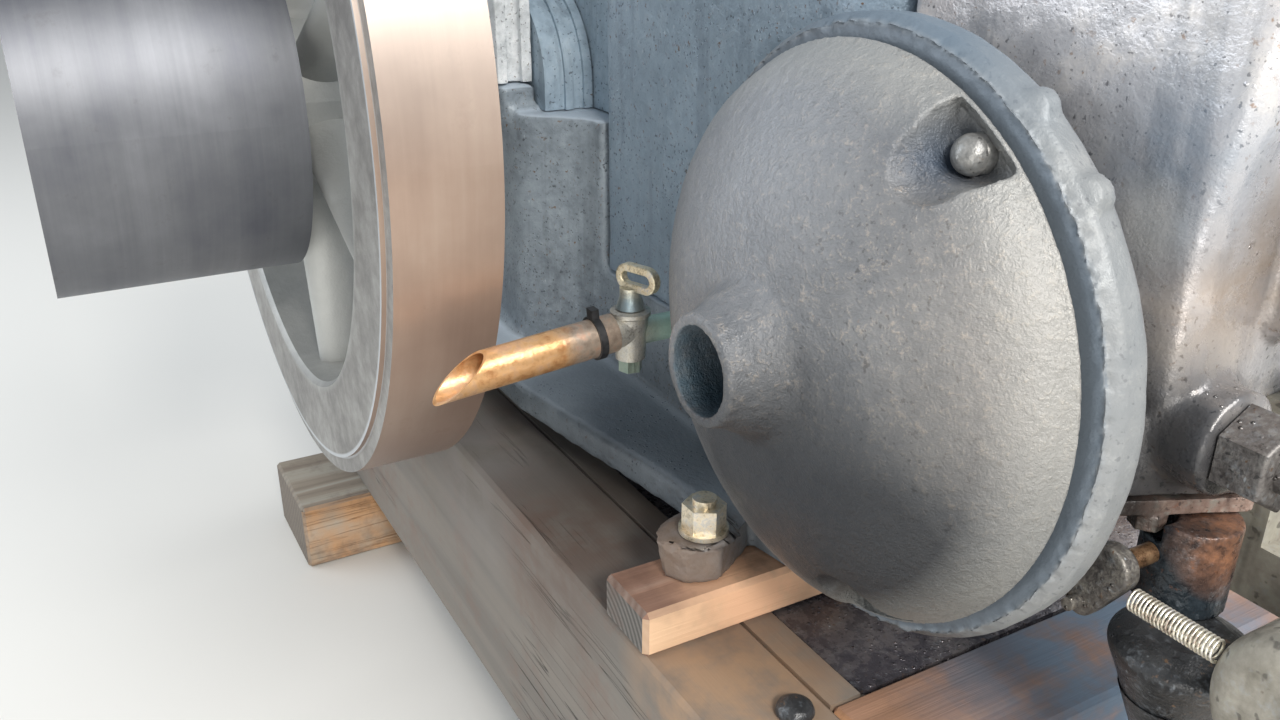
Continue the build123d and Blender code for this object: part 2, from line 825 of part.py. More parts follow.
def drain_cock():
    """Taper body with a cap ring, an inlet nipple to the hopper and an outlet stub."""
    half = cock_body_h / 2
    profile = Polyline(
        (0, -half),
        (cock_body_r - 1.6, -half),
        (cock_body_r, half - 4),
        (cock_body_r + 1.2, half - 3),
        (cock_body_r + 1.2, half - 1),
        (cock_body_r - 1, half),
        (0, half),
        close=True,
    )
    body = revolve(Plane.XZ * make_face(profile), Axis.Z)
    reach = cock_y - hopper_half_w + hopper_wall
    body += Rot(-90, 0, 0) * Cylinder(inlet_r, reach, align=(Align.CENTER, Align.CENTER, Align.MIN))
    stub = Pos(0, 0, outlet_rise) * Rot(90 + spout_droop, 0, 0) * Cylinder(
        spout_r - spout_wall, cock_body_r + spout_overlap, align=(Align.CENTER, Align.CENTER, Align.MIN)
    )
    body += stub
    body -= Cylinder(cock_tail_r, cock_body_h + 2)
    return cock_frame() * body


def cock_plug():
    """Turning plug with a hexagonal tail nut and a loop handle."""
    half = cock_body_h / 2
    low = half + cock_tail_gap + cock_nut_h
    high = half + cock_tail_gap + cock_neck_h
    plug = Pos(0, 0, -low) * Cylinder(
        cock_tail_r - running_gap, low + high, align=(Align.CENTER, Align.CENTER, Align.MIN)
    )
    neck = Cone(cock_neck_r, cock_tail_r - 1.5, cock_neck_h, align=(Align.CENTER, Align.CENTER, Align.MIN))
    plug += Pos(0, 0, half + cock_tail_gap) * neck
    plug += Pos(0, 0, -low) * extrude(RegularPolygon(cock_nut_flats / 2, 6, major_radius=False), cock_nut_h)
    loop = SlotOverall(loop_len, loop_w) - SlotOverall(loop_len - 2 * loop_bar, loop_w - 2 * loop_bar)
    handle = Pos(loop_x, 0, high + loop_w / 2 - 1.5) * Rot(90, 0, 0) * extrude(loop, loop_t / 2, both=True)
    return cock_frame() * Rot(0, 0, loop_turn) * (plug + fillet(handle.edges(), 0.8))


def spout_frame():
    """The start of the spout on the outlet stub, with +Z down the pipe."""
    return cock_frame() * Pos(0, 0, outlet_rise) * Rot(90 + spout_droop, 0, 0) * Pos(0, 0, cock_body_r + 1)


def drain_spout():
    """A copper pipe pushed over the outlet stub, with a long mitred end."""
    pipe = Cylinder(spout_r, spout_len, align=(Align.CENTER, Align.CENTER, Align.MIN))
    pipe -= Cylinder(spout_r - spout_wall, spout_len, align=(Align.CENTER, Align.CENTER, Align.MIN))
    middle = spout_len - spout_r * tan(radians(spout_cut))
    mitre = Pos(0, 0, middle) * Rot(-spout_cut, 0, 0) * Box(
        8 * spout_r, 12 * spout_r, 6 * spout_r, align=(Align.CENTER, Align.CENTER, Align.MIN)
    )
    return spout_frame() * (pipe - mitre)


def spout_band():
    """A narrow band round the pipe over the stub, with its square tail end."""
    band = Cylinder(spout_r + band_t, band_w)
    band += Pos(0, spout_r + band_lug / 2, 0) * Box(band_lug, band_lug, band_w)
    band -= Cylinder(spout_r, band_w + 2)
    return spout_frame() * Pos(0, 0, spout_overlap - band_w / 2) * band


def fuel_pump():
    """Pump barrel, cut back on one side for the flange's bolt."""
    barrel = rod(pump_x, -pump_y, pump_top_z - pump_h, pump_r, pump_h)
    barrel = fillet(barrel.faces().sort_by(Axis.Z)[-1].edges(), pump_shoulder)
    return barrel - flange_bolt_place() * Cylinder(spot_face_r, 2 * spot_face_h)


def pump_flange_outline():
    return RectangleRounded(pump_flange_w, pump_flange_len, pump_flange_round)


def pump_flange_frame(z):
    return place(pump_x + pump_flange_x, -pump_y + pump_flange_y, z) * Rot(0, 0, pump_flange_turn)


def flange_bolt_place():
    return pump_flange_frame(pump_top_z) * Pos(flange_bolt_x, flange_bolt_y - pump_flange_len / 2, 0)


def pump_flange():
    """The oblong flange between the head's pad and the barrel, with a bolt under its near end."""
    plate = pump_flange_frame(pump_top_z) * extrude(pump_flange_outline(), pump_flange_t)
    flats = RegularPolygon(flange_bolt_flats / 2, 6, major_radius=False)
    return plate + flange_bolt_place() * extrude(flats, -flange_bolt_h)


def pump_bowl():
    """A rounded bowl that hangs under the pump barrel."""
    profile = Wire(
        [
            Line((0, 0), (pump_r - 2, 0)),
            Spline(
                (pump_r - 2, 0),
                (bowl_r, -bowl_h * 0.15),
                (bowl_r * 0.9, -bowl_h * 0.3),
                (bowl_r * 0.66, -bowl_h * 0.6),
                (bowl_foot_r, -bowl_h),
                tangents=((1, -0.4), (-0.4, -1)),
            ),
            Line((bowl_foot_r, -bowl_h), (0, -bowl_h)),
            Line((0, -bowl_h), (0, 0)),
        ]
    )
    bowl = revolve(Plane.XZ * make_face(profile), Axis.Z)
    return place(pump_x + bowl_x, -pump_y - bowl_y, pump_top_z - pump_h) * bowl


def control_lever():
    """A short oblong lever on a pivot that runs along Y."""
    tip = (lever_arm * cos(radians(lever_angle)), lever_arm * sin(radians(lever_angle)))
    outline = make_hull([*Circle(lever_r).edges(), *(Pos(*tip) * Circle(lever_tip_r)).edges()])
    lever = extrude(Plane.XZ * outline, lever_t / 2, both=True)
    lever = fillet(lever.edges(), 1.5)
    socket = Pos(0, lever_face - lever_t / 2, 0) * Rot(-90, 0, 0)
    lever -= socket * Cylinder(pivot_r + running_gap, lever_t, align=(Align.CENTER, Align.CENTER, Align.MIN))
    tail = Pos(tip[0], -lever_t / 2, tip[1]) * Rot(90, 0, 0)
    lever += tail * Cylinder(pin_r, pin_len, align=(Align.CENTER, Align.CENTER, Align.MIN))
    return place(lever_x, -lever_y, crank_z - lever_below) * lever


def lever_pivot():
    """The pin that carries the lever, fixed in the side of the pump barrel."""
    start = -lever_y - lever_t / 2 + lever_face + lever_end_air
    pin = rod(lever_x, start, crank_z - lever_below, pivot_r, -pump_y - start, "Y")
    return pin - fuel_pump()


def governor_spring():
    """A close-wound steel spring from the lever side to the governor housing."""
    coil = Helix(spring_len / spring_turns, spring_len, spring_r - spring_wire / 2)
    profile = Plane(origin=coil @ 0, z_dir=coil % 0) * Circle(spring_wire / 2)
    wire = sweep(profile, path=coil, is_frenet=True)
    return place(spring_x, -lever_y, crank_z - spring_below) * Rot(0, 90, 0) * wire


def governor_housing():
    """A round housing with a domed face on an arm from the head's front."""
    drum = rod(governor_x, -lever_y - 6, crank_z - governor_below, governor_r, governor_len, "Y")
    drum = fillet(drum.faces().sort_by(Axis.Y)[0].edges(), 10)
    y0 = -lever_y - 6 + governor_len - bracket_w
    z0 = crank_z - governor_below
    half = bracket_h / 2
    arm = block(head_front_x, governor_x, y0, y0 + bracket_w, z0 - half, z0 + half)
    top = crank_z - head_drop + bracket_foot_h
    foot = block(head_front_x, head_front_x + bracket_t, y0, y0 + bracket_w, z0 - half, top)
    return drum + arm + foot


def crankshaft():
    near = belt_side
    shaft = rod(crank_x, -near + 4, crank_z, shaft_r, near - 4 + far_side - shaft_end_len, "Y")
    shaft += rod(crank_x, far_side - shaft_end_len, crank_z, shaft_end_r, shaft_end_len, "Y")
    return shaft


def flywheel(side):
    """Rim, hub and tapered oval spokes."""
    rim_in = wheel_r - rim_depth
    half = wheel_w / 2
    profile = Polyline(
        (rim_in, -half + 3),
        (rim_in + 3, -half),
        (wheel_r - rim_step, -half),
        (wheel_r - rim_step, -half + rim_step_h),
        (wheel_r, -half + rim_step_h),
        (wheel_r, half - rim_step_h),
        (wheel_r - rim_step, half - rim_step_h),
        (wheel_r - rim_step, half),
        (rim_in + 3, half),
        (rim_in, half - 3),
        close=True,
    )
    wheel = revolve(Plane.XZ * make_face(profile), Axis.Z)
    hub = Cylinder(wheel_hub_r, wheel_hub_w)
    wheel += fillet(hub.edges(), 4)
    root = Plane(origin=(wheel_hub_r - 8, 0, 0), z_dir=(1, 0, 0))
    root *= Ellipse(spoke_root_w / 2, spoke_root_t / 2)
    tip = Plane(origin=(rim_in + 4, 0, 0), z_dir=(1, 0, 0))
    tip *= Ellipse(spoke_tip_w / 2, spoke_tip_t / 2)
    spoke = loft([root, tip])
    for index in range(spokes):
        wheel += Rot(0, 0, 30 + index * 360 / spokes) * spoke
    wheel -= Cylinder(shaft_r, wheel_hub_w + 2)
    return place(crank_x, side * wheel_y, crank_z) * Rot(90, 0, 0) * wheel


def belt_pulley():
    """A turned steel drum with a pierced web and a hub."""
    drum = Cylinder(pulley_r, pulley_len) - Cylinder(pulley_r - pulley_shell, pulley_len + 2)
    web = Cylinder(pulley_r - pulley_shell + 1, pulley_web_t)
    for index in range(pulley_web_holes):
        spot = Rot(0, 0, index * 360 / pulley_web_holes) * Pos(pulley_hole_pcr, 0, 0)
        web -= spot * Cylinder(pulley_hole_r, 2 * pulley_web_t)
    hub_len = belt_side - wheel_y - wheel_hub_w / 2 - pulley_hub_set
    hub = Pos(0, 0, (pulley_len - hub_len) / 2 - pulley_hub_set) * Cylinder(pulley_hub_r, hub_len)
    body = drum + web + hub - Cylinder(shaft_r, 2 * pulley_len)
    return place(crank_x, -belt_side + pulley_len / 2, crank_z) * Rot(90, 0, 0) * body


save("skid_near", skid_rail(-1))
save("skid_far", skid_rail(1))
save("sleeper_rear", sleeper(sleeper_rear_x))
save("sleeper_front", sleeper(sleeper_front_x))
save("battens", both(batten))
save("drip_plate", drip_plate())
save("cross_board", cross_board())
save("packing_blocks", packing_blocks())
save("engine_bed", engine_bed())
save("foundation_bolts", foundation_bolts())
save("bearing_cap_near", bearing_cap(-1))
save("bearing_cap_far", bearing_cap(1))
save("oil_cups", both(oil_cup))
save("crank_guard", crank_guard())
save("shaft_covers", both(shaft_cover))
save("cylinder_hopper", cylinder_hopper())
save("head_gasket", gasket())
save("cylinder_head", cylinder_head())
save("head_nuts", head_nuts())
save("valve_cover", valve_cover())
save("muffler_pot", muffler_pot())
save("muffler_dish", muffler_dish())
save("muffler_bolts", muffler_bolts())
save("drain_cock", drain_cock())
save("cock_plug", cock_plug())
save("drain_spout", drain_spout())
save("spout_band", spout_band())
save("fuel_pump", fuel_pump())
save("pump_flange", pump_flange())
save("pump_bowl", pump_bowl())
save("control_lever", control_lever())
save("lever_pivot", lever_pivot())
save("governor_spring", governor_spring())
save("governor_housing", governor_housing())
save("crankshaft", crankshaft())
save("flywheel_near", flywheel(-1))
save("flywheel_far", flywheel(1))
save("belt_pulley", belt_pulley())
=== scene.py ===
import json
from math import cos, pi, sin, sqrt

import bmesh
import bpy
from mathutils import Matrix, Vector, noise

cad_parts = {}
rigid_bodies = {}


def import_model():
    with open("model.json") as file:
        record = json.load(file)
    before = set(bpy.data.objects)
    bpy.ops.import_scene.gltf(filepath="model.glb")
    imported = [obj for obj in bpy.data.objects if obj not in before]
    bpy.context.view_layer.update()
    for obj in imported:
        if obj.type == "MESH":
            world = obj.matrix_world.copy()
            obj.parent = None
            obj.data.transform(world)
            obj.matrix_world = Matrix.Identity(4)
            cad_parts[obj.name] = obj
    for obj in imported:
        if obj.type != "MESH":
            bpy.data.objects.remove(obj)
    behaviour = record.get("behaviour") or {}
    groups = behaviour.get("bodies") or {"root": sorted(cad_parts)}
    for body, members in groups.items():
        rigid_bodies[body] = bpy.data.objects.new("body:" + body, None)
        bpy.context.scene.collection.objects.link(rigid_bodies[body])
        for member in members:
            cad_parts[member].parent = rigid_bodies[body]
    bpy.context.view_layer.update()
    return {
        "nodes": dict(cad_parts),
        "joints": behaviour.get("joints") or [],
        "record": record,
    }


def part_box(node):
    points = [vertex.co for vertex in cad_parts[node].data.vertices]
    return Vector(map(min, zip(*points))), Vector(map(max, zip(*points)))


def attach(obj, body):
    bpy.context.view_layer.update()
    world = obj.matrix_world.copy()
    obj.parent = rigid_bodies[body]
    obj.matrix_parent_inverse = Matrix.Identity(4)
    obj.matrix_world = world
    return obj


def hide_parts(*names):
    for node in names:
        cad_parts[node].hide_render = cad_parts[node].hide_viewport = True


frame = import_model()
nodes = frame["nodes"]
print("frame loaded with", len(nodes), "nodes")

# What the frame gives: two axes along y, each as x and z, the engine's centre line and the rails' top
nozzle = next(mount["pos_m"] for mount in frame["record"]["mounts"] if mount["name"] == "exhaust_nozzle")
crank = next(joint["pos_m"] for joint in frame["joints"] if joint["name"] == "crank_spin")
mufflerAxis = (nozzle[0], nozzle[2])
wheelAxis = (crank[0], crank[2])
centreLine = crank[1]
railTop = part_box("skid_near")[1][2]


def addObject(name, data):
    item = bpy.data.objects.new(name, data)
    bpy.context.scene.collection.objects.link(item)
    return item


# A colour from 0 to 255 by the sRGB rule, as the linear values that the shaders take
def tone(*levels):
    def linear(level):
        return ((level / 255 + 0.055) / 1.055) ** 2.4 if level > 10 else level / 3294.6

    return tuple(linear(level) for level in levels)


# One socket of a shader graph, with arithmetic
class Wire:
    def __init__(self, graph, socket):
        self.graph = graph
        self.socket = socket

    def math(self, operation, *others):
        return self.graph.math(operation, self, *others)

    def __add__(self, other):
        return self.math("ADD", other)

    def __radd__(self, other):
        return self.graph.math("ADD", other, self)

    def __mul__(self, other):
        return self.math("MULTIPLY", other)

    def __rmul__(self, other):
        return self.graph.math("MULTIPLY", other, self)

    def __sub__(self, other):
        return self.math("SUBTRACT", other)

    def __rsub__(self, other):
        return self.graph.math("SUBTRACT", other, self)

    def __pow__(self, other):
        return self.math("POWER", other)

    def __rpow__(self, other):
        return self.graph.math("POWER", other, self)


# A material and the few node patterns that the finishes share
class Graph:
    def __init__(self, name):
        self.material = bpy.data.materials.new(name)
        self.material.use_nodes = True
        self.tree = self.material.node_tree
        self.shader = self.tree.nodes["Principled BSDF"]
        self.normal = None
        self.place = self.make("ShaderNodeTexCoord", {}, {}, "Object")

    def make(self, kind, settings, values, output=0):
        node = self.tree.nodes.new(kind)
        for name, value in settings.items():
            if name == "stops":
                self.setStops(node.color_ramp, value)
            else:
                setattr(node, name, value)
        for key, value in values.items():
            self.feed(node.inputs[key], value)
        return Wire(self, node.outputs[output])

    def setStops(self, ramp, stops):
        while len(ramp.elements) < len(stops):
            ramp.elements.new(0.5)
        for element, (position, colour) in zip(ramp.elements, stops):
            element.position = position
            element.color = (*colour, 1)

    def feed(self, socket, value):
        if isinstance(value, Wire):
            self.tree.links.new(value.socket, socket)
        elif socket.type == "RGBA":
            socket.default_value = (*value, 1)
        else:
            socket.default_value = value

    def math(self, operation, *values):
        return self.make("ShaderNodeMath", {"operation": operation}, dict(enumerate(values)))

    def vector(self, operation, values, output=0):
        return self.make("ShaderNodeVectorMath", {"operation": operation}, values, output)

    def stretch(self, amounts):
        return self.vector("MULTIPLY", {0: self.place, 1: amounts})

    def noise(self, scale, detail, rough, along=(1, 1, 1)):
        values = {"Vector": self.stretch(along), "Scale": scale, "Detail": detail, "Roughness": rough}
        return self.make("ShaderNodeTexNoise", {}, values)

    def cells(self, scale, along=(1, 1, 1)):
        return self.make("ShaderNodeTexVoronoi", {}, {"Vector": self.stretch(along), "Scale": scale})

    def level(self, value, low, high):
        # 0 to 1 while the value goes from low to high
        return self.make("ShaderNodeMapRange", {}, {"Value": value, "From Min": low, "From Max": high})

    def ramp(self, value, *stops):
        return self.make("ShaderNodeValToRGB", {"stops": stops}, {0: value})

    def tones(self, value, look):
        return self.ramp(value, (0.0, look["dark"]), (0.5, look["mid"]), (1.0, look["light"]))

    def blend(self, factor, first, second):
        return self.make("ShaderNodeMix", {"data_type": "RGBA"}, {0: factor, 6: first, 7: second}, 2)

    def bump(self, height, depth):
        values = {"Height": height, "Distance": depth}
        if self.normal:
            values["Normal"] = self.normal
        self.normal = self.make("ShaderNodeBump", {}, values)

    def part(self, vector, axis):
        return self.make("ShaderNodeSeparateXYZ", {}, {0: vector}, axis)

    def facing(self, axis):
        return self.part(self.make("ShaderNodeTexCoord", {}, {}, "Normal"), axis)

    def near(self, point, radius):
        # 1 at a point, falling to 0 at a radius
        return self.level(self.vector("DISTANCE", {0: self.place, 1: point}, "Value"), radius, radius * 0.35)

    def reach(self, x, z):
        # The distance from an axis that runs along y
        return ((self.part(self.place, "X") - x) ** 2 + (self.part(self.place, "Z") - z) ** 2).math("SQRT")

    def films(self, colour, look):
        # Smooth spots of another tone, each with its middle, radius and strength
        for tint, point, radius, amount in look.get("films", ()):
            colour = self.blend(self.near(point, radius) * amount, colour, tint)
        return colour

    def done(self, colour, **inputs):
        self.feed(self.shader.inputs["Base Color"], colour)
        for name, value in inputs.items():
            self.feed(self.shader.inputs[name], value)
        if self.normal:
            self.feed(self.shader.inputs["Normal"], self.normal)
        return self.material


# Rough iron from a sand mould: patches, worn high spots, specks, pits, oil runs and wet beads.
# Sheet, paint and fibre use it too, with their own settings.
def castIron(name, look):
    coat = Graph(name)
    patch = coat.noise(look["patch"], 7, 0.62)
    small = coat.noise(look["patch"] * 8, 5, 0.65)
    lumps = coat.noise(look["lumpScale"], 4, 0.6)
    sand = coat.noise(look["lumpScale"] * 4, 3, 0.65)
    colour = coat.tones(coat.level(patch * 0.5 + small * 0.3 + lumps * 0.2, 0.36, 0.64), look)
    worn = coat.level(lumps * 0.6 + sand * 0.4, *look["wornLevels"]) * look["worn"]
    colour = coat.blend(worn, colour, look["wornTone"])
    least = 1 - look["specks"]
    specks = coat.level(coat.noise(look["speckScale"], 3, 0.6), least, least + look["speckFade"])
    colour = coat.blend(specks * coat.level(small, 0.35, 0.6), colour, look["speck"])
    pits = coat.level(coat.noise(look["speckScale"] * 1.7, 2, 0.5), *look["pitLevels"])
    colour = coat.blend(pits * look["pits"], colour, look["pit"])
    runs = coat.noise(look["runScale"], 4, 0.6, (1, 1, look["runStretch"]))
    oil = coat.level(runs, 0.62 - look["oil"] * 0.3, 0.68 - look["oil"] * 0.2) * look["oil"]
    colour = coat.blend(oil, colour, look["oilTone"])
    smoothest, roughest = look["rough"]
    rough = coat.level(small, 0.3, 0.7) * (roughest - smoothest) + smoothest
    coat.bump(patch, look["lump"] * 2)
    coat.bump(lumps, look["lump"])
    coat.bump(sand, look["sand"])
    if look["beads"]:
        start, end = 0.62 - look["beads"] * 0.25, 0.68 - look["beads"] * 0.2
        beads = coat.level(coat.cells(look["beadScale"]), *look["beadLevels"])
        beads = beads * coat.level(coat.noise(24, 3, 0.5), start, end)
        coat.bump(beads, look["beadHeight"])
        rough = rough - coat.level(beads, 0.0, 0.3) * (smoothest - look["beadRough"])
        glints = coat.level(coat.cells(look["beadScale"] * 0.7, (1, 1, 0.5)), *look["glintLevels"])
        glints = glints * coat.level(coat.noise(90, 2, 0.5), 0.5, 0.6) * look["beads"]
        colour = coat.blend(glints, colour, look["glint"])
    rough = rough - oil * (smoothest * 0.45)
    if "top" in look:
        # Painted light from above: another tone on what faces up
        tint, amount = look["top"]
        colour = coat.blend(coat.level(coat.facing("Z"), 0.6, 0.9) * amount, colour, tint)
    for tint, point, radius, amount in look.get("marks", ()):
        # Spots like the films, but ragged
        ragged = coat.near(point, radius) * coat.level(patch + small * 0.5, 0.5, 0.85) * amount
        colour = coat.blend(ragged, colour, tint)
    colour = coat.films(colour, look)
    for tint, start, end, amount in look.get("aboutAxis", ()):
        # Another tone between two distances from the muffler's axis; the dish takes painted shade and
        # painted light from it
        colour = coat.blend(coat.level(coat.reach(*mufflerAxis), start, end) * amount, colour, tint)
    if "groove" in look:
        colour = grooveShadeAndCrestHighlight(coat, colour, look["groove"])
    return coat.done(colour, Roughness=rough, Metallic=look["metal"])


# Painted shade in the groove between the muffler's halves and a painted highlight along the crest beside it
def grooveShadeAndCrestHighlight(coat, colour, groove):
    reach = coat.reach(*mufflerAxis) + (coat.noise(300, 4, 0.7) - 0.5) * groove["ragged"]
    inside = coat.level(reach, *groove["inner"]) * coat.level(reach, *groove["outer"])
    colour = coat.blend(inside, colour, groove["tint"])
    crest = coat.level((reach - groove["crest"]).math("ABSOLUTE"), *groove["crestWidths"])
    crest = crest * coat.level(coat.part(coat.place, "Y"), *groove["crestPlaces"])
    return coat.blend(crest * groove["crestAmount"], colour, groove["crestTone"])


# Weathered softwood along one axis: growth bands, fibres, checks, end grain and oil
def timber(name, look):
    coat = Graph(name)
    run = look["run"]

    def grain(amount):
        return tuple(amount if axis == run else 1 for axis in range(3))

    warp = coat.noise(look["bands"] * 0.35, 3, 0.5, grain(look["bandStretch"])) * look["warp"]
    waver = coat.noise(look["bands"], 4, 0.6, grain(look["bandStretch"])) * look["waver"]
    bands = coat.level((warp + waver).math("SINE"), -1, 1)
    fibres = coat.noise(look["fibreScale"], 3, 0.7, grain(look["fibreStretch"]))
    wide = coat.noise(7, 5, 0.6, grain(0.4))
    colour = coat.tones(coat.level(bands * 0.4 + fibres * 0.35 + wide * 0.5, 0.3, 0.95), look)
    checks = coat.noise(look["checkScale"], 3, 0.6, grain(look["checkStretch"])) - 0.5
    checks = coat.level(checks.math("ABSOLUTE"), *look["checkWidths"])
    checks = checks * coat.level(wide, *look["checkPatches"]) * look["checks"]
    colour = coat.blend(checks, colour, look["check"])
    heart = tuple(-value for value in look["heart"])
    flat = coat.vector("MULTIPLY_ADD", {0: coat.place, 1: grain(0), 2: heart})
    reach = coat.vector("LENGTH", {0: flat}, "Value")
    rings = reach * look["rings"] + coat.noise(20, 3, 0.5) * look["ringWaver"]
    share = coat.level(rings.math("SINE"), -1, 1) * 0.7 + fibres * 0.3
    endColour = coat.ramp(share, (0.0, look["endDark"]), (1.0, look["endLight"]))
    ends = coat.level(coat.facing("XYZ"[run]).math("ABSOLUTE"), 0.6, 0.8)
    colour = coat.blend(ends, colour, endColour)
    if "sawn" in look:
        # Painted light in patches on what faces the front
        tint, amount = look["sawn"]
        litPatches = coat.level(coat.facing("X"), 0.6, 0.8) * coat.level(coat.noise(14, 4, 0.6), 0.3, 0.5)
        colour = coat.blend(litPatches * amount, colour, tint)
    smears = coat.noise(16, 5, 0.65) * 0.7 + coat.noise(120, 3, 0.6) * 0.3
    grime = coat.level(smears, *look["grimeLevels"]) * look["grime"]
    colour = coat.blend(grime, colour, look["grimeTone"])
    for tint, point, radius, amount in look.get("marks", ()):
        edge = coat.level(coat.noise(30, 4, 0.6), 0.25, 0.55)
        colour = coat.blend(coat.near(point, radius) * edge * amount, colour, tint)
    coat.bump(fibres, look["relief"])
    coat.bump(bands, look["relief"] * 0.8)
    coat.bump(1 - checks, look["checkDepth"])
    return coat.done(colour, Roughness=look["rough"] - grime * look["wet"])


# Turned or worn steel with fine lines round the axis y
def turned(name, look):
    coat = Graph(name)
    lines = coat.noise(look["lines"], 4, 0.7, (0.02, 1, 0.02))
    wide = coat.noise(look["lines"] * 0.12, 3, 0.6, (0.1, 1, 0.1))
    patch = coat.noise(look["patch"], 6, 0.6)
    share = lines * look["fine"] + wide * 0.3 + patch * 0.5
    most = look["fine"] + 0.3 + 0.5
    colour = coat.tones(coat.level(share, most * 0.36, most * 0.66), look)
    stain = coat.level(coat.noise(look["patch"] * 4, 6, 0.7), 0.6, 0.7) * look["stains"]
    colour = coat.blend(stain, colour, look["stain"])
    rough = look["rough"] + stain * 0.25 + coat.level(patch, 0.3, 0.7) * 0.1
    for tint, start, end, amount in look.get("paintedShadeAndSheen", ()):
        # Painted shade and painted highlight: another tone from one height to the next
        colour = coat.blend(coat.level(coat.part(coat.place, "Z"), start, end) * amount, colour, tint)
    if "face" in look:
        colour, faces = wheelFaces(coat, colour, patch, look["face"])
        rough = rough + faces * 0.15
    coat.bump(lines, look["relief"])
    return coat.done(colour, Roughness=rough, Metallic=look["metal"])


# Another tone on a wheel's flat faces and spokes, with a painted highlight as a bright line near the rim
def wheelFaces(coat, colour, patch, face):
    reach = coat.reach(*face["axis"])
    inside = coat.level(reach, *face["inside"])
    faces = coat.level(coat.facing("Y").math("ABSOLUTE"), 0.5, 0.8).math("MAXIMUM", inside)
    skin = coat.noise(face["skinScale"], 6, 0.65)
    tint = coat.tones(coat.level(skin * 0.5 + patch * 0.5, 0.36, 0.64), face)
    tint = coat.blend(coat.level(reach, *face["spokes"]) * 0.8, tint, face["spokeTone"])
    edge = coat.level((reach - face["edge"]).math("ABSOLUTE"), *face["edgeWidths"])
    tint = coat.blend(edge * 0.8, tint, face["rimHighlight"])
    coat.bump(skin * faces, face["skinDepth"])
    return coat.blend(faces, colour, tint), faces


# Small metal parts with tarnish and a second tone over a stretch of y
def tarnished(name, look):
    coat = Graph(name)
    patch = coat.noise(look["patch"], 6, 0.65)
    fine = coat.noise(look["patch"] * 6, 4, 0.6)
    share = coat.level(patch * 0.6 + fine * 0.4, 0.4, 0.62)
    colour = coat.tones(share, look)
    dull = coat.level(fine * 0.5 + patch * 0.5, 0.5, 0.6) * look["dull"]
    if "second" in look:
        low, high = look["second"]
        over = coat.level(coat.part(coat.place, "Y") + (patch - 0.5) * 0.03, *look["stretch"])
        colour = coat.blend(over, colour, coat.ramp(share, (0.0, low), (1.0, high)))
    colour = coat.blend(dull, colour, look["dullTone"])
    colour = coat.films(colour, look)
    coat.bump(patch, look["dent"])
    coat.bump(coat.noise(look["patch"] * 14, 3, 0.6), look["dent"] * 0.2)
    return coat.done(colour, Roughness=look["rough"] + dull * 0.3, Metallic=look["metal"])


# What the iron finishes share, unless one says otherwise
iron = {
    "patch": 16,
    "lumpScale": 110,
    "lump": 0.0006,
    "sand": 0.00025,
    "specks": 0.36,
    "speckScale": 260,
    "speckFade": 0.06,
    "pits": 0.6,
    "pitLevels": (0.64, 0.7),
    "beads": 0.0,
    "beadScale": 300,
    "beadLevels": (0.26, 0.05),
    "beadHeight": 0.0009,
    "beadRough": 0.08,
    "glintLevels": (0.13, 0.06),
    "oil": 0.0,
    "runScale": 60,
    "runStretch": 0.09,
    "metal": 0.15,
    "rough": (0.5, 0.75),
    "dark": tone(70, 74, 80),
    "mid": tone(105, 112, 120),
    "light": tone(138, 148, 158),
    "speck": tone(110, 88, 70),
    "pit": tone(40, 40, 44),
    "oilTone": tone(24, 27, 32),
    "worn": 0.3,
    "wornLevels": (0.54, 0.68),
    "wornTone": tone(150, 158, 166),
    "glint": tone(214, 222, 228),
}

# What the timbers share
wood = {
    "bandStretch": 0.045,
    "warp": 26,
    "waver": 5,
    "fibreScale": 520,
    "fibreStretch": 0.02,
    "checks": 0.7,
    "checkScale": 80,
    "checkStretch": 0.03,
    "checkWidths": (0.01, 0.003),
    "checkPatches": (0.54, 0.62),
    "checkDepth": 0.0015,
    "ringWaver": 4,
    "grimeLevels": (0.5, 0.66),
    "rough": 0.85,
    "wet": 0.3,
}

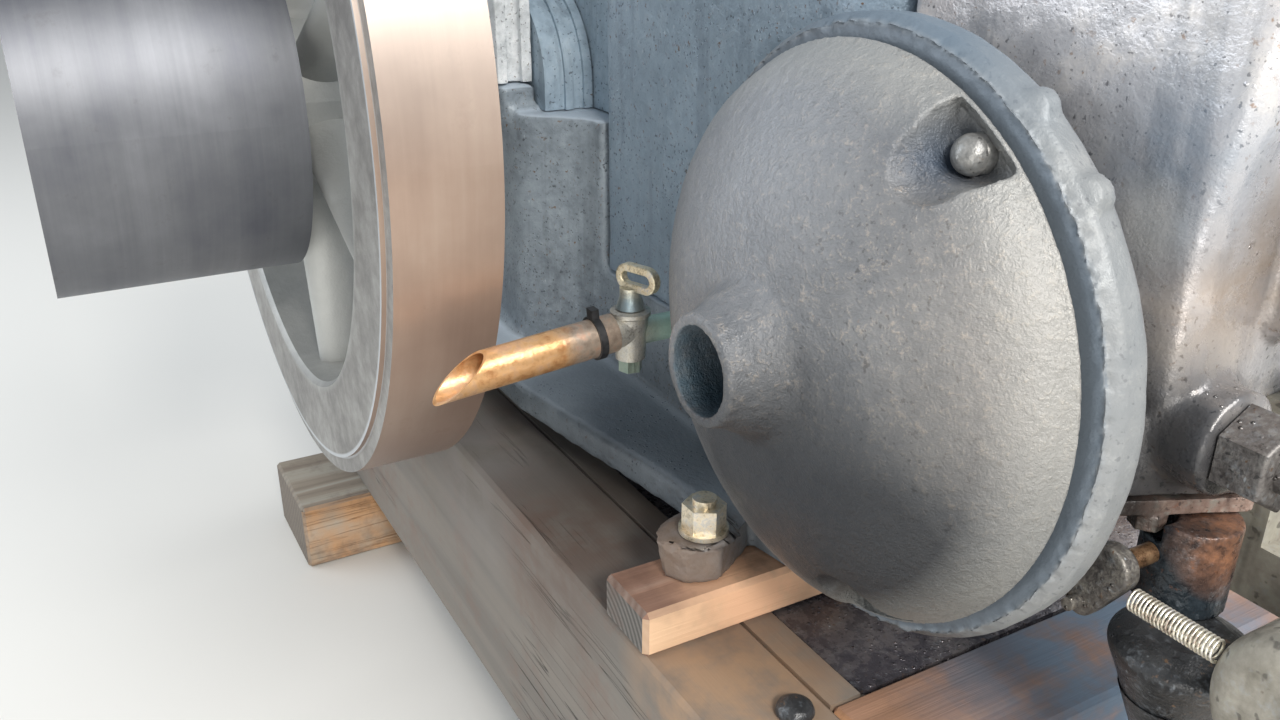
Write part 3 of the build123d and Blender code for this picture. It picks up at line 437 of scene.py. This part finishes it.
finishes = {
    "dish": castIron("dishIron", iron | {
        "dark": tone(99, 101, 104),
        "mid": tone(114, 115, 117),
        "light": tone(129, 129, 129),
        "speck": tone(124, 104, 88),
        "pit": tone(70, 68, 68),
        "worn": 0.5,
        "wornTone": tone(172, 160, 146),
        "specks": 0.3,
        "patch": 11,
        "lumpScale": 240,
        "lump": 0.001,
        "sand": 0.0003,
        "rough": (0.36, 0.56),
        "metal": 0.25,
        "films": (
            # Painted shadow over the dish's lower left, in two spots
            (tone(32, 35, 40), (0.288, -0.144, 0.335), 0.092, 0.9),
            (tone(26, 32, 40), (0.228, -0.156, 0.338), 0.088, 0.88),
            # Painted shade in the bolt pocket
            (tone(34, 52, 72), (0.273, -0.117, 0.482), 0.024, 0.85),
            # Painted shadow low on the dish
            (tone(34, 36, 40), (0.262, -0.120, 0.285), 0.05, 0.7),
            # Painted light on the dish's right side
            (tone(168, 160, 150), (0.345, -0.13, 0.43), 0.07, 0.3),
            # Painted light on the dish's upper left
            (tone(150, 156, 164), (0.17, -0.15, 0.48), 0.11, 0.6),
        ),
        "aboutAxis": (
            # Painted shade inside the nozzle's bore
            (tone(60, 90, 106), 0.0182, 0.0174, 1.0),
            # Painted light near the dish's edge
            (tone(168, 168, 164), 0.098, 0.114, 0.45),
        ),
    }),
    "pot": castIron("potIron", iron | {
        "dark": tone(128, 132, 135),
        "mid": tone(135, 138, 140),
        "light": tone(142, 144, 145),
        "speck": tone(148, 138, 124),
        "pit": tone(104, 106, 110),
        "worn": 0.1,
        "wornTone": tone(206, 206, 202),
        "specks": 0.12,
        "patch": 10,
        "lumpScale": 170,
        "lump": 0.0002,
        "sand": 0.0002,
        "rough": (0.42, 0.6),
        "metal": 0.2,
        "films": (
            # A painted reflection of the sky on the pot's top
            (tone(88, 108, 126), (0.2265, -0.11, 0.525), 0.1, 0.7),
            # Painted shadow on the pot's lower side
            (tone(50, 54, 58), (0.26, -0.11, 0.262), 0.085, 0.75),
        ),
        # Painted shade in the groove and a painted highlight along the crest
        "groove": {
            "tint": tone(98, 108, 118),
            "inner": (0.0998, 0.1002),
            "outer": (0.123, 0.1222),
            "ragged": 0.002,
            "crest": 0.1236,
            "crestTone": tone(138, 144, 150),
            "crestWidths": (0.0025, 0.0008),
            "crestPlaces": (-0.106, -0.1075),
            "crestAmount": 0.45,
        },
    }),
    "hopper": castIron("hopperIron", iron | {
        "dark": tone(126, 143, 157),
        "mid": tone(140, 157, 172),
        "light": tone(153, 170, 184),
        "oil": 0.25,
        "oilTone": tone(96, 108, 122),
        "beads": 0.35,
        "rough": (0.32, 0.55),
        "metal": 0.3,
    }),
    "head": castIron("headIron", iron | {
        "dark": tone(175, 174, 178),
        "mid": tone(208, 206, 208),
        "light": tone(241, 233, 226),
        "speck": tone(160, 134, 114),
        "oil": 0.3,
        "oilTone": tone(84, 96, 108),
        "beads": 0.12,
        "rough": (0.2, 0.36),
        "metal": 0.35,
        "patch": 7,
        "lumpScale": 140,
        "marks": (
            (tone(168, 152, 138), (0.345, -0.035, 0.445), 0.05, 0.9),
            (tone(112, 132, 152), (0.320, -0.0575, 0.475), 0.045, 0.7),
        ),
        "lump": 0.0003,
        "sand": 0.00012,
        "films": (
            # Painted shadow low on the near side
            (tone(30, 32, 36), (0.338, -0.058, 0.378), 0.06, 0.9),
            # A darker patch towards the right
            (tone(84, 78, 74), (0.345, 0.012, 0.45), 0.055, 0.75),
            # A painted highlight on the side
            (tone(236, 234, 230), (0.314, -0.057, 0.458), 0.02, 0.5),
        ),
    }),
    "bed": castIron("bedIron", iron | {
        "dark": tone(107, 115, 123),
        "mid": tone(134, 144, 152),
        "light": tone(154, 164, 172),
        "oil": 0.2,
        "oilTone": tone(50, 56, 62),
        "beads": 0.25,
        "rough": (0.35, 0.6),
        "marks": ((tone(84, 70, 60), (0.159, -0.14, 0.262), 0.05, 1.0),),
        # Painted light from above on what faces up
        "top": (tone(196, 208, 220), 0.7),
        "films": (
            # Painted shade low on the bed's near side
            (tone(46, 54, 62), (0.075, -0.12, 0.262), 0.1, 0.6),
            (tone(46, 54, 62), (-0.02, -0.11, 0.258), 0.09, 0.45),
            (tone(138, 121, 108), (0.159, -0.148, 0.262), 0.045, 0.7),
        ),
    }),
    "cap": castIron("capIron", iron | {
        "dark": tone(181, 185, 187),
        "mid": tone(222, 225, 227),
        "light": tone(249, 250, 250),
        "pit": tone(70, 70, 74),
        "lumpScale": 220,
        "lump": 0.0008,
    }),
    "guard": castIron("guardSteel", iron | {
        "dark": tone(134, 150, 163),
        "mid": tone(156, 174, 188),
        "light": tone(177, 193, 204),
        "lump": 0.0003,
        "specks": 0.3,
        "oil": 0.3,
        "oilTone": tone(84, 96, 106),
    }),
    "gasket": castIron("gasketFibre", iron | {
        "dark": tone(30, 28, 28),
        "mid": tone(48, 42, 40),
        "light": tone(70, 62, 58),
        "metal": 0.0,
    }),
    "bolt": castIron("boltSteel", iron | {
        "dark": tone(79, 74, 72),
        "mid": tone(113, 109, 107),
        "light": tone(151, 148, 144),
        "patch": 60,
        "metal": 0.6,
        "rough": (0.35, 0.6),
        "beads": 0.5,
        "lump": 0.0003,
    }),
    "dome": castIron("domeSteel", iron | {
        "dark": tone(103, 103, 103),
        "mid": tone(136, 136, 134),
        "light": tone(164, 162, 159),
        "patch": 60,
        "metal": 0.5,
        "rough": (0.3, 0.45),
        "lump": 0.0002,
    }),
    "flange": castIron("flangeIron", iron | {
        "dark": tone(142, 112, 98),
        "mid": tone(192, 166, 153),
        "light": tone(206, 219, 210),
        "speck": tone(176, 104, 62),
        "wornTone": tone(226, 206, 186),
        "oil": 0.5,
        "beads": 0.25,
        "patch": 30,
        "rough": (0.25, 0.5),
        "marks": ((tone(44, 40, 40), (0.318, -0.056, 0.352), 0.026, 1.0),),
        "films": ((tone(36, 34, 34), (0.316, -0.056, 0.352), 0.034, 0.95),),
    }),
    "pump": castIron("pumpIron", iron | {
        "dark": tone(24, 31, 38),
        "mid": tone(39, 48, 55),
        "light": tone(61, 71, 79),
        "speck": tone(120, 76, 50),
        "oil": 0.2,
        "beads": 0.25,
        "patch": 30,
        "rough": (0.2, 0.45),
        "marks": ((tone(158, 112, 84), (0.357, -0.03, 0.345), 0.026, 1.0),),
    }),
    "lever": castIron("leverIron", iron | {
        "dark": tone(59, 55, 56),
        "mid": tone(98, 94, 90),
        "light": tone(150, 146, 137),
        "patch": 50,
        "beads": 0.5,
        "rough": (0.25, 0.5),
        "metal": 0.5,
    }),
    "bowl": castIron("bowlIron", iron | {
        "dark": tone(35, 36, 38),
        "mid": tone(51, 52, 54),
        "light": tone(70, 71, 73),
        "rough": (0.25, 0.45),
        "beads": 0.2,
    }),
    "cream": castIron("creamPaint", iron | {
        "dark": tone(114, 110, 99),
        "mid": tone(151, 146, 135),
        "light": tone(177, 174, 160),
        "speck": tone(92, 74, 58),
        "pit": tone(60, 56, 52),
        "lump": 0.0002,
        "sand": 0.00008,
        "specks": 0.34,
        "speckScale": 120,
        "metal": 0.0,
        "oil": 0.3,
    }),
    "rail": timber("railTimber", wood | {
        "run": 0,
        "bands": 42,
        "dark": tone(108, 102, 96),
        "mid": tone(117, 112, 106),
        "light": tone(127, 120, 112),
        "check": tone(34, 30, 28),
        "heart": (0, -0.16, 0.05),
        "rings": 900,
        "endDark": tone(98, 92, 86),
        "endLight": tone(130, 122, 112),
        "grime": 0.6,
        "grimeTone": tone(112, 88, 76),
        "relief": 0.0002,
        "marks": (
            (tone(170, 138, 108), (0.215, -0.15, 0.225), 0.07, 0.8),
            (tone(96, 76, 66), (0.06, -0.17, 0.225), 0.09, 0.6),
            (tone(130, 126, 124), (-0.06, -0.16, 0.225), 0.1, 0.6),
        ),
    }),
    "block": timber("blockTimber", wood | {
        "run": 1,
        "bands": 70,
        "dark": tone(127, 96, 81),
        "mid": tone(152, 119, 102),
        "light": tone(171, 144, 128),
        "check": tone(50, 36, 28),
        "heart": (0.12, 0, 0.20),
        "rings": 1500,
        "endDark": tone(65, 62, 59),
        "endLight": tone(119, 115, 110),
        "grime": 0.45,
        "grimeTone": tone(92, 64, 50),
        "relief": 0.0004,
        # Painted light on the block's top
        "marks": ((tone(250, 200, 162), (0.175, -0.105, 0.25), 0.06, 0.95),),
        # Painted light on what faces the front
        "sawn": (tone(232, 196, 160), 0.85),
    }),
    "sleeper": timber("sleeperTimber", wood | {
        "run": 1,
        "bands": 55,
        "dark": tone(126, 114, 104),
        "mid": tone(154, 144, 130),
        "light": tone(177, 173, 162),
        "check": tone(44, 34, 28),
        "heart": (0.37, 0, -0.02),
        "rings": 800,
        "endDark": tone(98, 90, 84),
        "endLight": tone(134, 124, 112),
        "grime": 0.5,
        "grimeTone": tone(84, 72, 66),
        "wet": 0.2,
        "relief": 0.0006,
        # Painted light on what faces the front
        "sawn": (tone(206, 152, 100), 0.7),
    }),
    "board": timber("boardTimber", wood | {
        "run": 1,
        "bands": 50,
        "dark": tone(126, 95, 74),
        "mid": tone(162, 124, 100),
        "light": tone(196, 154, 122),
        "check": tone(40, 32, 28),
        "heart": (0.27, 0, 0.12),
        "rings": 900,
        "endDark": tone(110, 76, 52),
        "endLight": tone(206, 152, 104),
        "grime": 0.5,
        "grimeTone": tone(66, 62, 64),
        "wet": 0.5,
        "relief": 0.0005,
        # An oily patch with a painted reflection of the sky
        "marks": ((tone(104, 124, 144), (0.29, 0.03, 0.225), 0.13, 0.95),),
    }),
    "drip": castIron("oiledPlate", iron | {
        "dark": tone(52, 51, 54),
        "mid": tone(85, 81, 87),
        "light": tone(131, 125, 125),
        "metal": 0.4,
        "rough": (0.15, 0.4),
        "beads": 0.7,
        "lump": 0.0003,
    }),
    "tread": turned("wheelTread", {
        "lines": 500,
        "patch": 10,
        "dark": tone(158, 136, 122),
        "mid": tone(172, 150, 135),
        "light": tone(184, 165, 150),
        "stain": tone(112, 88, 72),
        "stains": 0.15,
        "rough": 0.35,
        "metal": 0.5,
        "relief": 0.00004,
        "fine": 0.06,
        # Painted shade low on the tread and a painted highlight high on it
        "paintedShadeAndSheen": (
            (tone(104, 80, 72), 0.40, 0.27, 0.5),
            (tone(248, 246, 242), 0.44, 0.57, 0.4),
        ),
        "face": {
            "axis": wheelAxis,
            "inside": (0.225, 0.221),
            "skinScale": 90,
            "skinDepth": 0.0008,
            "dark": tone(118, 116, 114),
            "mid": tone(142, 140, 137),
            "light": tone(166, 165, 162),
            "spokes": (0.19, 0.18),
            "spokeTone": tone(190, 192, 190),
            # A painted highlight as a bright line near the rim
            "edge": 0.2305,
            "edgeWidths": (0.0022, 0.0012),
            "rimHighlight": tone(196, 200, 204),
        },
    }),
    "pulley": turned("pulleySteel", {
        "lines": 260,
        "patch": 14,
        "dark": tone(93, 95, 103),
        "mid": tone(113, 115, 120),
        "light": tone(132, 134, 139),
        "stain": tone(70, 64, 62),
        "stains": 0.2,
        "rough": 0.44,
        "metal": 0.75,
        "relief": 0.00004,
        "fine": 0.12,
    }),
    "shaft": turned("shaftSteel", {
        "lines": 400,
        "patch": 20,
        "dark": tone(96, 96, 98),
        "mid": tone(140, 140, 142),
        "light": tone(180, 180, 180),
        "stain": tone(96, 74, 60),
        "stains": 0.6,
        "rough": 0.3,
        "metal": 0.8,
        "relief": 0.0001,
        "fine": 0.3,
    }),
    "spout": tarnished("spoutCopper", {
        "patch": 40,
        "dark": tone(194, 139, 91),
        "mid": tone(224, 178, 127),
        "light": tone(244, 214, 174),
        "second": (tone(150, 132, 118), tone(204, 188, 170)),
        "stretch": (-0.178, -0.168),
        "dull": 0.5,
        "dullTone": tone(176, 112, 80),
        "dent": 0.0006,
        "rough": 0.32,
        "metal": 0.6,
    }),
    "cock": tarnished("cockBronze", {
        "patch": 120,
        "dark": tone(131, 128, 121),
        "mid": tone(181, 179, 173),
        "light": tone(236, 229, 211),
        # The inlet's verdigris, its second tone and film painted pale as light on it
        "second": (tone(170, 200, 196), tone(220, 236, 232)),
        "stretch": (-0.122, -0.112),
        "films": ((tone(196, 232, 214), (0.088, -0.112, 0.352), 0.022, 0.8),),
        "dull": 0.5,
        "dullTone": tone(72, 68, 60),
        "dent": 0.0005,
        "rough": 0.35,
        "metal": 0.6,
    }),
    "handle": tarnished("handleBrass", {
        "patch": 150,
        "films": (
            (tone(120, 140, 150), (0.089, -0.136, 0.3665), 0.0145, 0.9),
            (tone(116, 136, 128), (0.089, -0.138, 0.332), 0.02, 0.9),
        ),
        "dark": tone(182, 169, 142),
        "mid": tone(244, 233, 202),
        "light": tone(255, 255, 255),
        "dull": 0.4,
        "dullTone": tone(96, 84, 64),
        "dent": 0.0004,
        "rough": 0.3,
        "metal": 0.7,
    }),
    "pin": tarnished("pinBrass", {
        "patch": 200,
        "dark": tone(110, 84, 62),
        "mid": tone(166, 130, 98),
        "light": tone(214, 180, 140),
        "dull": 0.3,
        "dullTone": tone(90, 66, 52),
        "dent": 0.0002,
        "rough": 0.3,
        "metal": 0.8,
    }),
    "spring": tarnished("springSteel", {
        "patch": 200,
        "dark": tone(176, 160, 146),
        "mid": tone(255, 251, 234),
        "light": tone(255, 255, 255),
        "dull": 0.3,
        "dullTone": tone(110, 88, 70),
        "dent": 0.0001,
        "rough": 0.28,
        "metal": 0.8,
    }),
    "zinc": tarnished("zincNut", {
        "patch": 90,
        "dark": tone(170, 159, 137),
        "mid": tone(231, 219, 195),
        "light": tone(255, 255, 249),
        "dull": 0.4,
        "dullTone": tone(96, 78, 60),
        "dent": 0.0003,
        "rough": 0.28,
        "metal": 0.75,
    }),
    "band": tarnished("bandBlack", {
        "patch": 60,
        "dark": tone(22, 22, 24),
        "mid": tone(36, 36, 38),
        "light": tone(60, 60, 62),
        "dull": 0.3,
        "dullTone": tone(20, 20, 20),
        "dent": 0.0002,
        "rough": 0.45,
        "metal": 0.0,
    }),
}

# Each node's finish
nodeFinish = {
    "battens": "rail",
    "bearing_cap_far": "cap",
    "bearing_cap_near": "cap",
    "belt_pulley": "pulley",
    "cock_plug": "handle",
    "control_lever": "lever",
    "crank_guard": "guard",
    "crankshaft": "shaft",
    "cross_board": "board",
    "cylinder_head": "head",
    "cylinder_hopper": "hopper",
    "drain_cock": "cock",
    "drain_spout": "spout",
    "drip_plate": "drip",
    "engine_bed": "bed",
    "flywheel_far": "tread",
    "flywheel_near": "tread",
    "foundation_bolts": "zinc",
    "fuel_pump": "pump",
    "governor_housing": "cream",
    "governor_spring": "spring",
    "head_gasket": "gasket",
    "head_nuts": "bolt",
    "lever_pivot": "pin",
    "muffler_bolts": "dome",
    "muffler_dish": "dish",
    "muffler_pot": "pot",
    "oil_cups": "handle",
    "packing_blocks": "block",
    "pump_bowl": "bowl",
    "pump_flange": "flange",
    "shaft_covers": "guard",
    "skid_far": "rail",
    "skid_near": "rail",
    "sleeper_front": "sleeper",
    "sleeper_rear": "sleeper",
    "spout_band": "band",
    "valve_cover": "hopper",
}
for nodeName, finish in nodeFinish.items():
    for slot in nodes[nodeName].material_slots:
        slot.material = finishes[finish]
print("finishes set")


# The muffler's dressed shape in metres, by radius from its axis and height in front of its joint
muffler = {
    "joint": -0.1155,  # its y
    "dishSetBack": 0.0042,
    "dishSpread": 0.034,
    "spreadRadii": (0.055, 0.108),
    "grooveRadius": 0.1125,
    "skirtHeights": (-0.0042, -0.0032),
    "rimHeight": -0.007,
    "rimRadius": 0.1235,
    "rimSlope": 0.6,
    "rimInside": 0.12,
    "rimFoot": -0.013,
    "chipHeights": (-0.011, -0.0075),
    "chipRadii": (0.119, 0.1225),
    "chips": ((210, 1.0), (480, 0.6)),
    "chipIn": 0.0008,
    "chipDown": 0.0011,
}


# 0 to 1, gently, while the value goes from low to high
def ease(value, low, high):
    share = min(max((value - low) / (high - low), 0.0), 1.0)
    return share * share * (3 - 2 * share)


# The sum of some noises at a point, each with its scale and its strength
def roughness(point, noises):
    return sum(amount * noise.noise(point * scale) for scale, amount in noises)


# Moves a point by a form that works on its radius and height
def aboutMuffler(point, form):
    x, z = mufflerAxis
    reach = sqrt((point.x - x) ** 2 + (point.z - z) ** 2)
    newReach, newHeight = form(reach, muffler["joint"] - point.y)
    share = newReach / max(reach, 1e-6)
    return Vector((x + (point.x - x) * share, muffler["joint"] - newHeight, z + (point.z - z) * share))


def dishForm(point):
    # The dish's edge lies further back and wider, and its skirt is cut in behind the edge
    def form(reach, height):
        outer = ease(reach, *muffler["spreadRadii"])
        height -= muffler["dishSetBack"] * outer
        reach *= 1 + muffler["dishSpread"] * outer
        groove = muffler["grooveRadius"]
        if reach > groove:
            reach = groove + (reach - groove) * ease(height, *muffler["skirtHeights"])
        return reach, height

    return aboutMuffler(point, form)


def potForm(point):
    # The pot's rim falls off outward from a ragged crest
    def form(reach, height):
        if reach > muffler["rimInside"] and height > muffler["rimFoot"]:
            limit = muffler["rimRadius"] + max(muffler["rimHeight"] - height, 0.0) * muffler["rimSlope"]
            reach = min(reach, limit)
            near = ease(height, *muffler["chipHeights"]) * ease(reach, *muffler["chipRadii"])
            chip = near * (0.5 + roughness(point, muffler["chips"]))
            reach -= muffler["chipIn"] * chip
            height -= muffler["chipDown"] * chip
        return reach, height

    return aboutMuffler(point, form)


# The bed's front lugs in metres; root and middle are distances out from the centre line
lugs = {
    "x": 0.159,
    "top": 0.272,
    "root": 0.127,
    "length": 0.036,
    "span": 0.05,
    "halfWidths": (0.042, 0.024),
    "fronts": (-0.007, 0.015),
    "rootFade": (-0.004, 0.002),
    "topFade": (0.2705, 0.266),
    "middle": 0.155,
    "lump": 0.16,
    "lumps": ((75, 0.5), (170, 0.35)),
}


def bedForm(point):
    # The front lugs are narrow lumps whose necks lean back
    side = -1 if point.y < centreLine else 1
    out = (point.y - centreLine) * side - lugs["root"]
    if out < lugs["rootFade"][0] or point.z > lugs["top"] or abs(point.x - lugs["x"]) > lugs["span"]:
        return point
    share = min(max(out / lugs["length"], 0.0), 1.0)
    half, front = (root + (tip - root) * share for root, tip in (lugs["halfWidths"], lugs["fronts"]))
    fade = ease(out, *lugs["rootFade"])
    along = (point.x - lugs["x"] + half) / (2 * half)
    x = lugs["x"] - half + along * (half + front)
    moved = Vector((point.x + (x - point.x) * fade, point.y, point.z))
    lump = 0.5 + roughness(point, lugs["lumps"])
    centre = Vector((lugs["x"], centreLine + side * lugs["middle"], point.z))
    low = ease(point.z, *lugs["topFade"]) * fade
    return moved + (centre - moved) * lump * low * lugs["lump"]


# A casting in place of a CAD node: its edges rounded by a remesh, its skin moved inward by noise
def castPiece(nodeName, shape):
    source = nodes[nodeName]
    start = addObject(nodeName + "Start", source.data.copy())
    if "cutAt" in shape:
        # Everything in front of this y is cut away and the open ring is closed
        build = bmesh.new()
        build.from_mesh(start.data)
        bmesh.ops.remove_doubles(build, verts=build.verts, dist=shape["weld"])
        cut = bmesh.ops.bisect_plane(
            build,
            geom=[*build.verts, *build.edges, *build.faces],
            plane_co=(0, shape["cutAt"], 0),
            plane_no=(0, -1, 0),
            clear_outer=True,
        )
        ring = [item for item in cut["geom_cut"] if isinstance(item, bmesh.types.BMEdge)]
        bmesh.ops.bridge_loops(build, edges=ring)
        build.to_mesh(start.data)
        build.free()
    remesh = start.modifiers.new("remesh", "REMESH")
    remesh.mode = "VOXEL"
    remesh.voxel_size = shape["voxel"]
    soften = start.modifiers.new("soften", "SMOOTH")
    soften.iterations = shape["soften"]
    ready = start.evaluated_get(bpy.context.evaluated_depsgraph_get())
    mesh = bpy.data.meshes.new_from_object(ready)
    bpy.data.objects.remove(start)
    if "form" in shape:
        for vertex in mesh.vertices:
            vertex.co = shape["form"](vertex.co)
        mesh.update()
    normals = [vertex.normal.copy() for vertex in mesh.vertices]
    for vertex, normal in zip(mesh.vertices, normals):
        depth = 0.0
        for scale, amount in shape["skin"]:
            depth += amount * (0.5 + 0.5 * noise.noise(vertex.co * scale))
        vertex.co -= normal * depth
    mesh.shade_smooth()
    mesh.materials.clear()
    mesh.materials.append(finishes[nodeFinish[nodeName]])
    piece = addObject(nodeName + "Cast", mesh)
    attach(piece, source.parent.name.split(":")[-1])
    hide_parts(nodeName)
    print(nodeName, "cast,", len(mesh.polygons), "faces")


# The voxel in metres, the rounds of smoothing, and the skin's noises with their scales and depths
castings = {
    "muffler_dish": {
        "voxel": 0.0013,
        "soften": 1,
        "form": dishForm,
        "skin": ((60, 0.0003), (230, 0.0003), (520, 0.0002)),
    },
    "muffler_pot": {
        "voxel": 0.0015,
        "soften": 1,
        "cutAt": -0.1085,
        "weld": 1e-6,
        "form": potForm,
        "skin": ((60, 0.0006), (200, 0.0003)),
    },
    "cylinder_hopper": {"voxel": 0.003, "soften": 3, "skin": ((25, 0.001), (110, 0.0007))},
    "cylinder_head": {"voxel": 0.0024, "soften": 3, "skin": ((30, 0.001), (120, 0.0006))},
    "engine_bed": {"voxel": 0.003, "soften": 2, "form": bedForm, "skin": ((30, 0.001), (120, 0.0006))},
    "bearing_cap_near": {"voxel": 0.0012, "soften": 2, "skin": ((90, 0.0005), (300, 0.0005))},
    "bearing_cap_far": {"voxel": 0.0016, "soften": 2, "skin": ((90, 0.0005), (300, 0.0005))},
    "pump_flange": {"voxel": 0.0008, "soften": 2, "skin": ((120, 0.0004), (400, 0.0003))},
    "fuel_pump": {"voxel": 0.0009, "soften": 2, "skin": ((120, 0.0004), (400, 0.0003))},
}
for nodeName, shape in castings.items():
    castPiece(nodeName, shape)


# Bolt shanks that reach down to the dish's pockets, which lie a little further back
def addShanks():
    source = nodes["muffler_bolts"]
    piece = addObject("boltShanks", source.data.copy())
    for vertex in piece.data.vertices:
        vertex.co.y += muffler["dishSetBack"]
    piece.data.materials.clear()
    piece.data.materials.append(finishes["dome"])
    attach(piece, "frame")


addShanks()


screws = {
    "x": 0.243,
    "out": 0.1665,
    "profile": ((0.0085, 0.0), (0.009, 0.0015), (0.008, 0.0042), (0.005, 0.0062), (0.0, 0.0068)),
    "sides": 28,
}


# Round heads on both rails beside the muffler, at the same distance out from the centre line
def addScrewHeads(shape):
    mesh = bpy.data.meshes.new("railScrews")
    build = bmesh.new()
    for side in (-1, 1):
        y = centreLine + side * shape["out"]
        rings = []
        for radius, height in shape["profile"]:
            turns = shape["sides"] if radius else 1
            ring = []
            for turn in range(turns):
                angle = 2 * pi * turn / turns
                across = radius * cos(angle)
                along = radius * sin(angle)
                ring.append(build.verts.new((shape["x"] + across, y + along, railTop + height)))
            rings.append(ring)
        for low, high in zip(rings, rings[1:]):
            for turn in range(shape["sides"]):
                after = (turn + 1) % shape["sides"]
                corners = [low[turn], low[after], high[after % len(high)]]
                if len(high) > 1:
                    corners.append(high[turn])
                build.faces.new(corners)
        build.faces.new(list(reversed(rings[0])))
    build.to_mesh(mesh)
    build.free()
    for face in mesh.polygons:
        # The foot, a face with many corners, stays flat
        face.use_smooth = len(face.vertices) < 5
    mesh.materials.append(finishes["bowl"])
    piece = addObject("railScrews", mesh)
    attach(piece, "frame")


addScrewHeads(screws)
print("shanks and screw heads added")


# The photograph's view; lens and sensor are in millimetres
camera = {
    "place": (0.548, -0.3875, 0.565),
    "forward": (-0.7996, 0.4497, -0.3981),
    "right": (0.4886, 0.8725, 0.0042),
    "lens": 31.05,
    "sensor": 36,
    "clipStart": 0.01,
}


def addCamera(setup):
    forward = Vector(setup["forward"]).normalized()
    right = Vector(setup["right"]).normalized()
    up = right.cross(forward).normalized()
    turn = Matrix((right, up, -forward)).transposed().to_4x4()
    data = bpy.data.cameras.new("photoView")
    data.lens = setup["lens"]
    data.sensor_width = setup["sensor"]
    data.clip_start = setup["clipStart"]
    item = addObject("photoView", data)
    item.matrix_world = Matrix.Translation(Vector(setup["place"])) @ turn
    bpy.context.scene.camera = item


# Soft lamps, a pale floor and a plain world; each lamp has its place, aim, width, power and colour
studio = {
    "world": (0.88, 0.94, 1.0),
    "worldStrength": 0.5,
    "floor": (0.76, 0.75, 0.72),
    "floorReach": 6.0,
    "floorDrop": 0.0005,
    "lamps": (
        ("key", (2.5, -0.7, 1.9), (0.1, -0.05, 0.35), 0.5, 48.0, (1.0, 0.96, 0.9)),
        ("panel", (1.5, 0.15, 1.85), (-0.1, -0.2, 0.45), 1.05, 34.0, (1.0, 0.98, 0.95)),
        ("bounce", (1.7, -1.5, 0.35), (0.2, -0.1, 0.35), 0.6, 9.0, (1.0, 0.97, 0.92)),
        ("fill", (-1.3, -2.0, 1.2), (0.0, 0.0, 0.3), 1.8, 30.0, (0.9, 0.95, 1.0)),
        ("back", (-0.6, 1.9, 1.7), (0.0, 0.1, 0.3), 1.4, 16.0, (1.0, 1.0, 1.0)),
    ),
}


def addStudio(setup):
    world = bpy.data.worlds.new("studio")
    world.use_nodes = True
    background = world.node_tree.nodes["Background"]
    background.inputs["Color"].default_value = (*setup["world"], 1)
    background.inputs["Strength"].default_value = setup["worldStrength"]
    bpy.context.scene.world = world
    for name, place, aim, size, power, colour in setup["lamps"]:
        data = bpy.data.lights.new(name, "AREA")
        data.size = size
        data.energy = power
        data.color = colour
        item = addObject(name, data)
        item.location = place
        item.rotation_euler = (Vector(aim) - Vector(place)).to_track_quat("-Z", "Y").to_euler()
    mesh = bpy.data.meshes.new("floor")
    reach = setup["floorReach"]
    corners = [(-reach, -reach, 0), (reach, -reach, 0), (reach, reach, 0), (-reach, reach, 0)]
    mesh.from_pydata(corners, [], [(0, 1, 2, 3)])
    floor = addObject("floor", mesh)
    floor.location.z = -setup["floorDrop"]
    paint = Graph("floorPaint")
    mesh.materials.append(paint.done(setup["floor"], Roughness=0.8))


addCamera(camera)
addStudio(studio)
bpy.context.scene.view_settings.view_transform = "Standard"
print("camera and studio set")
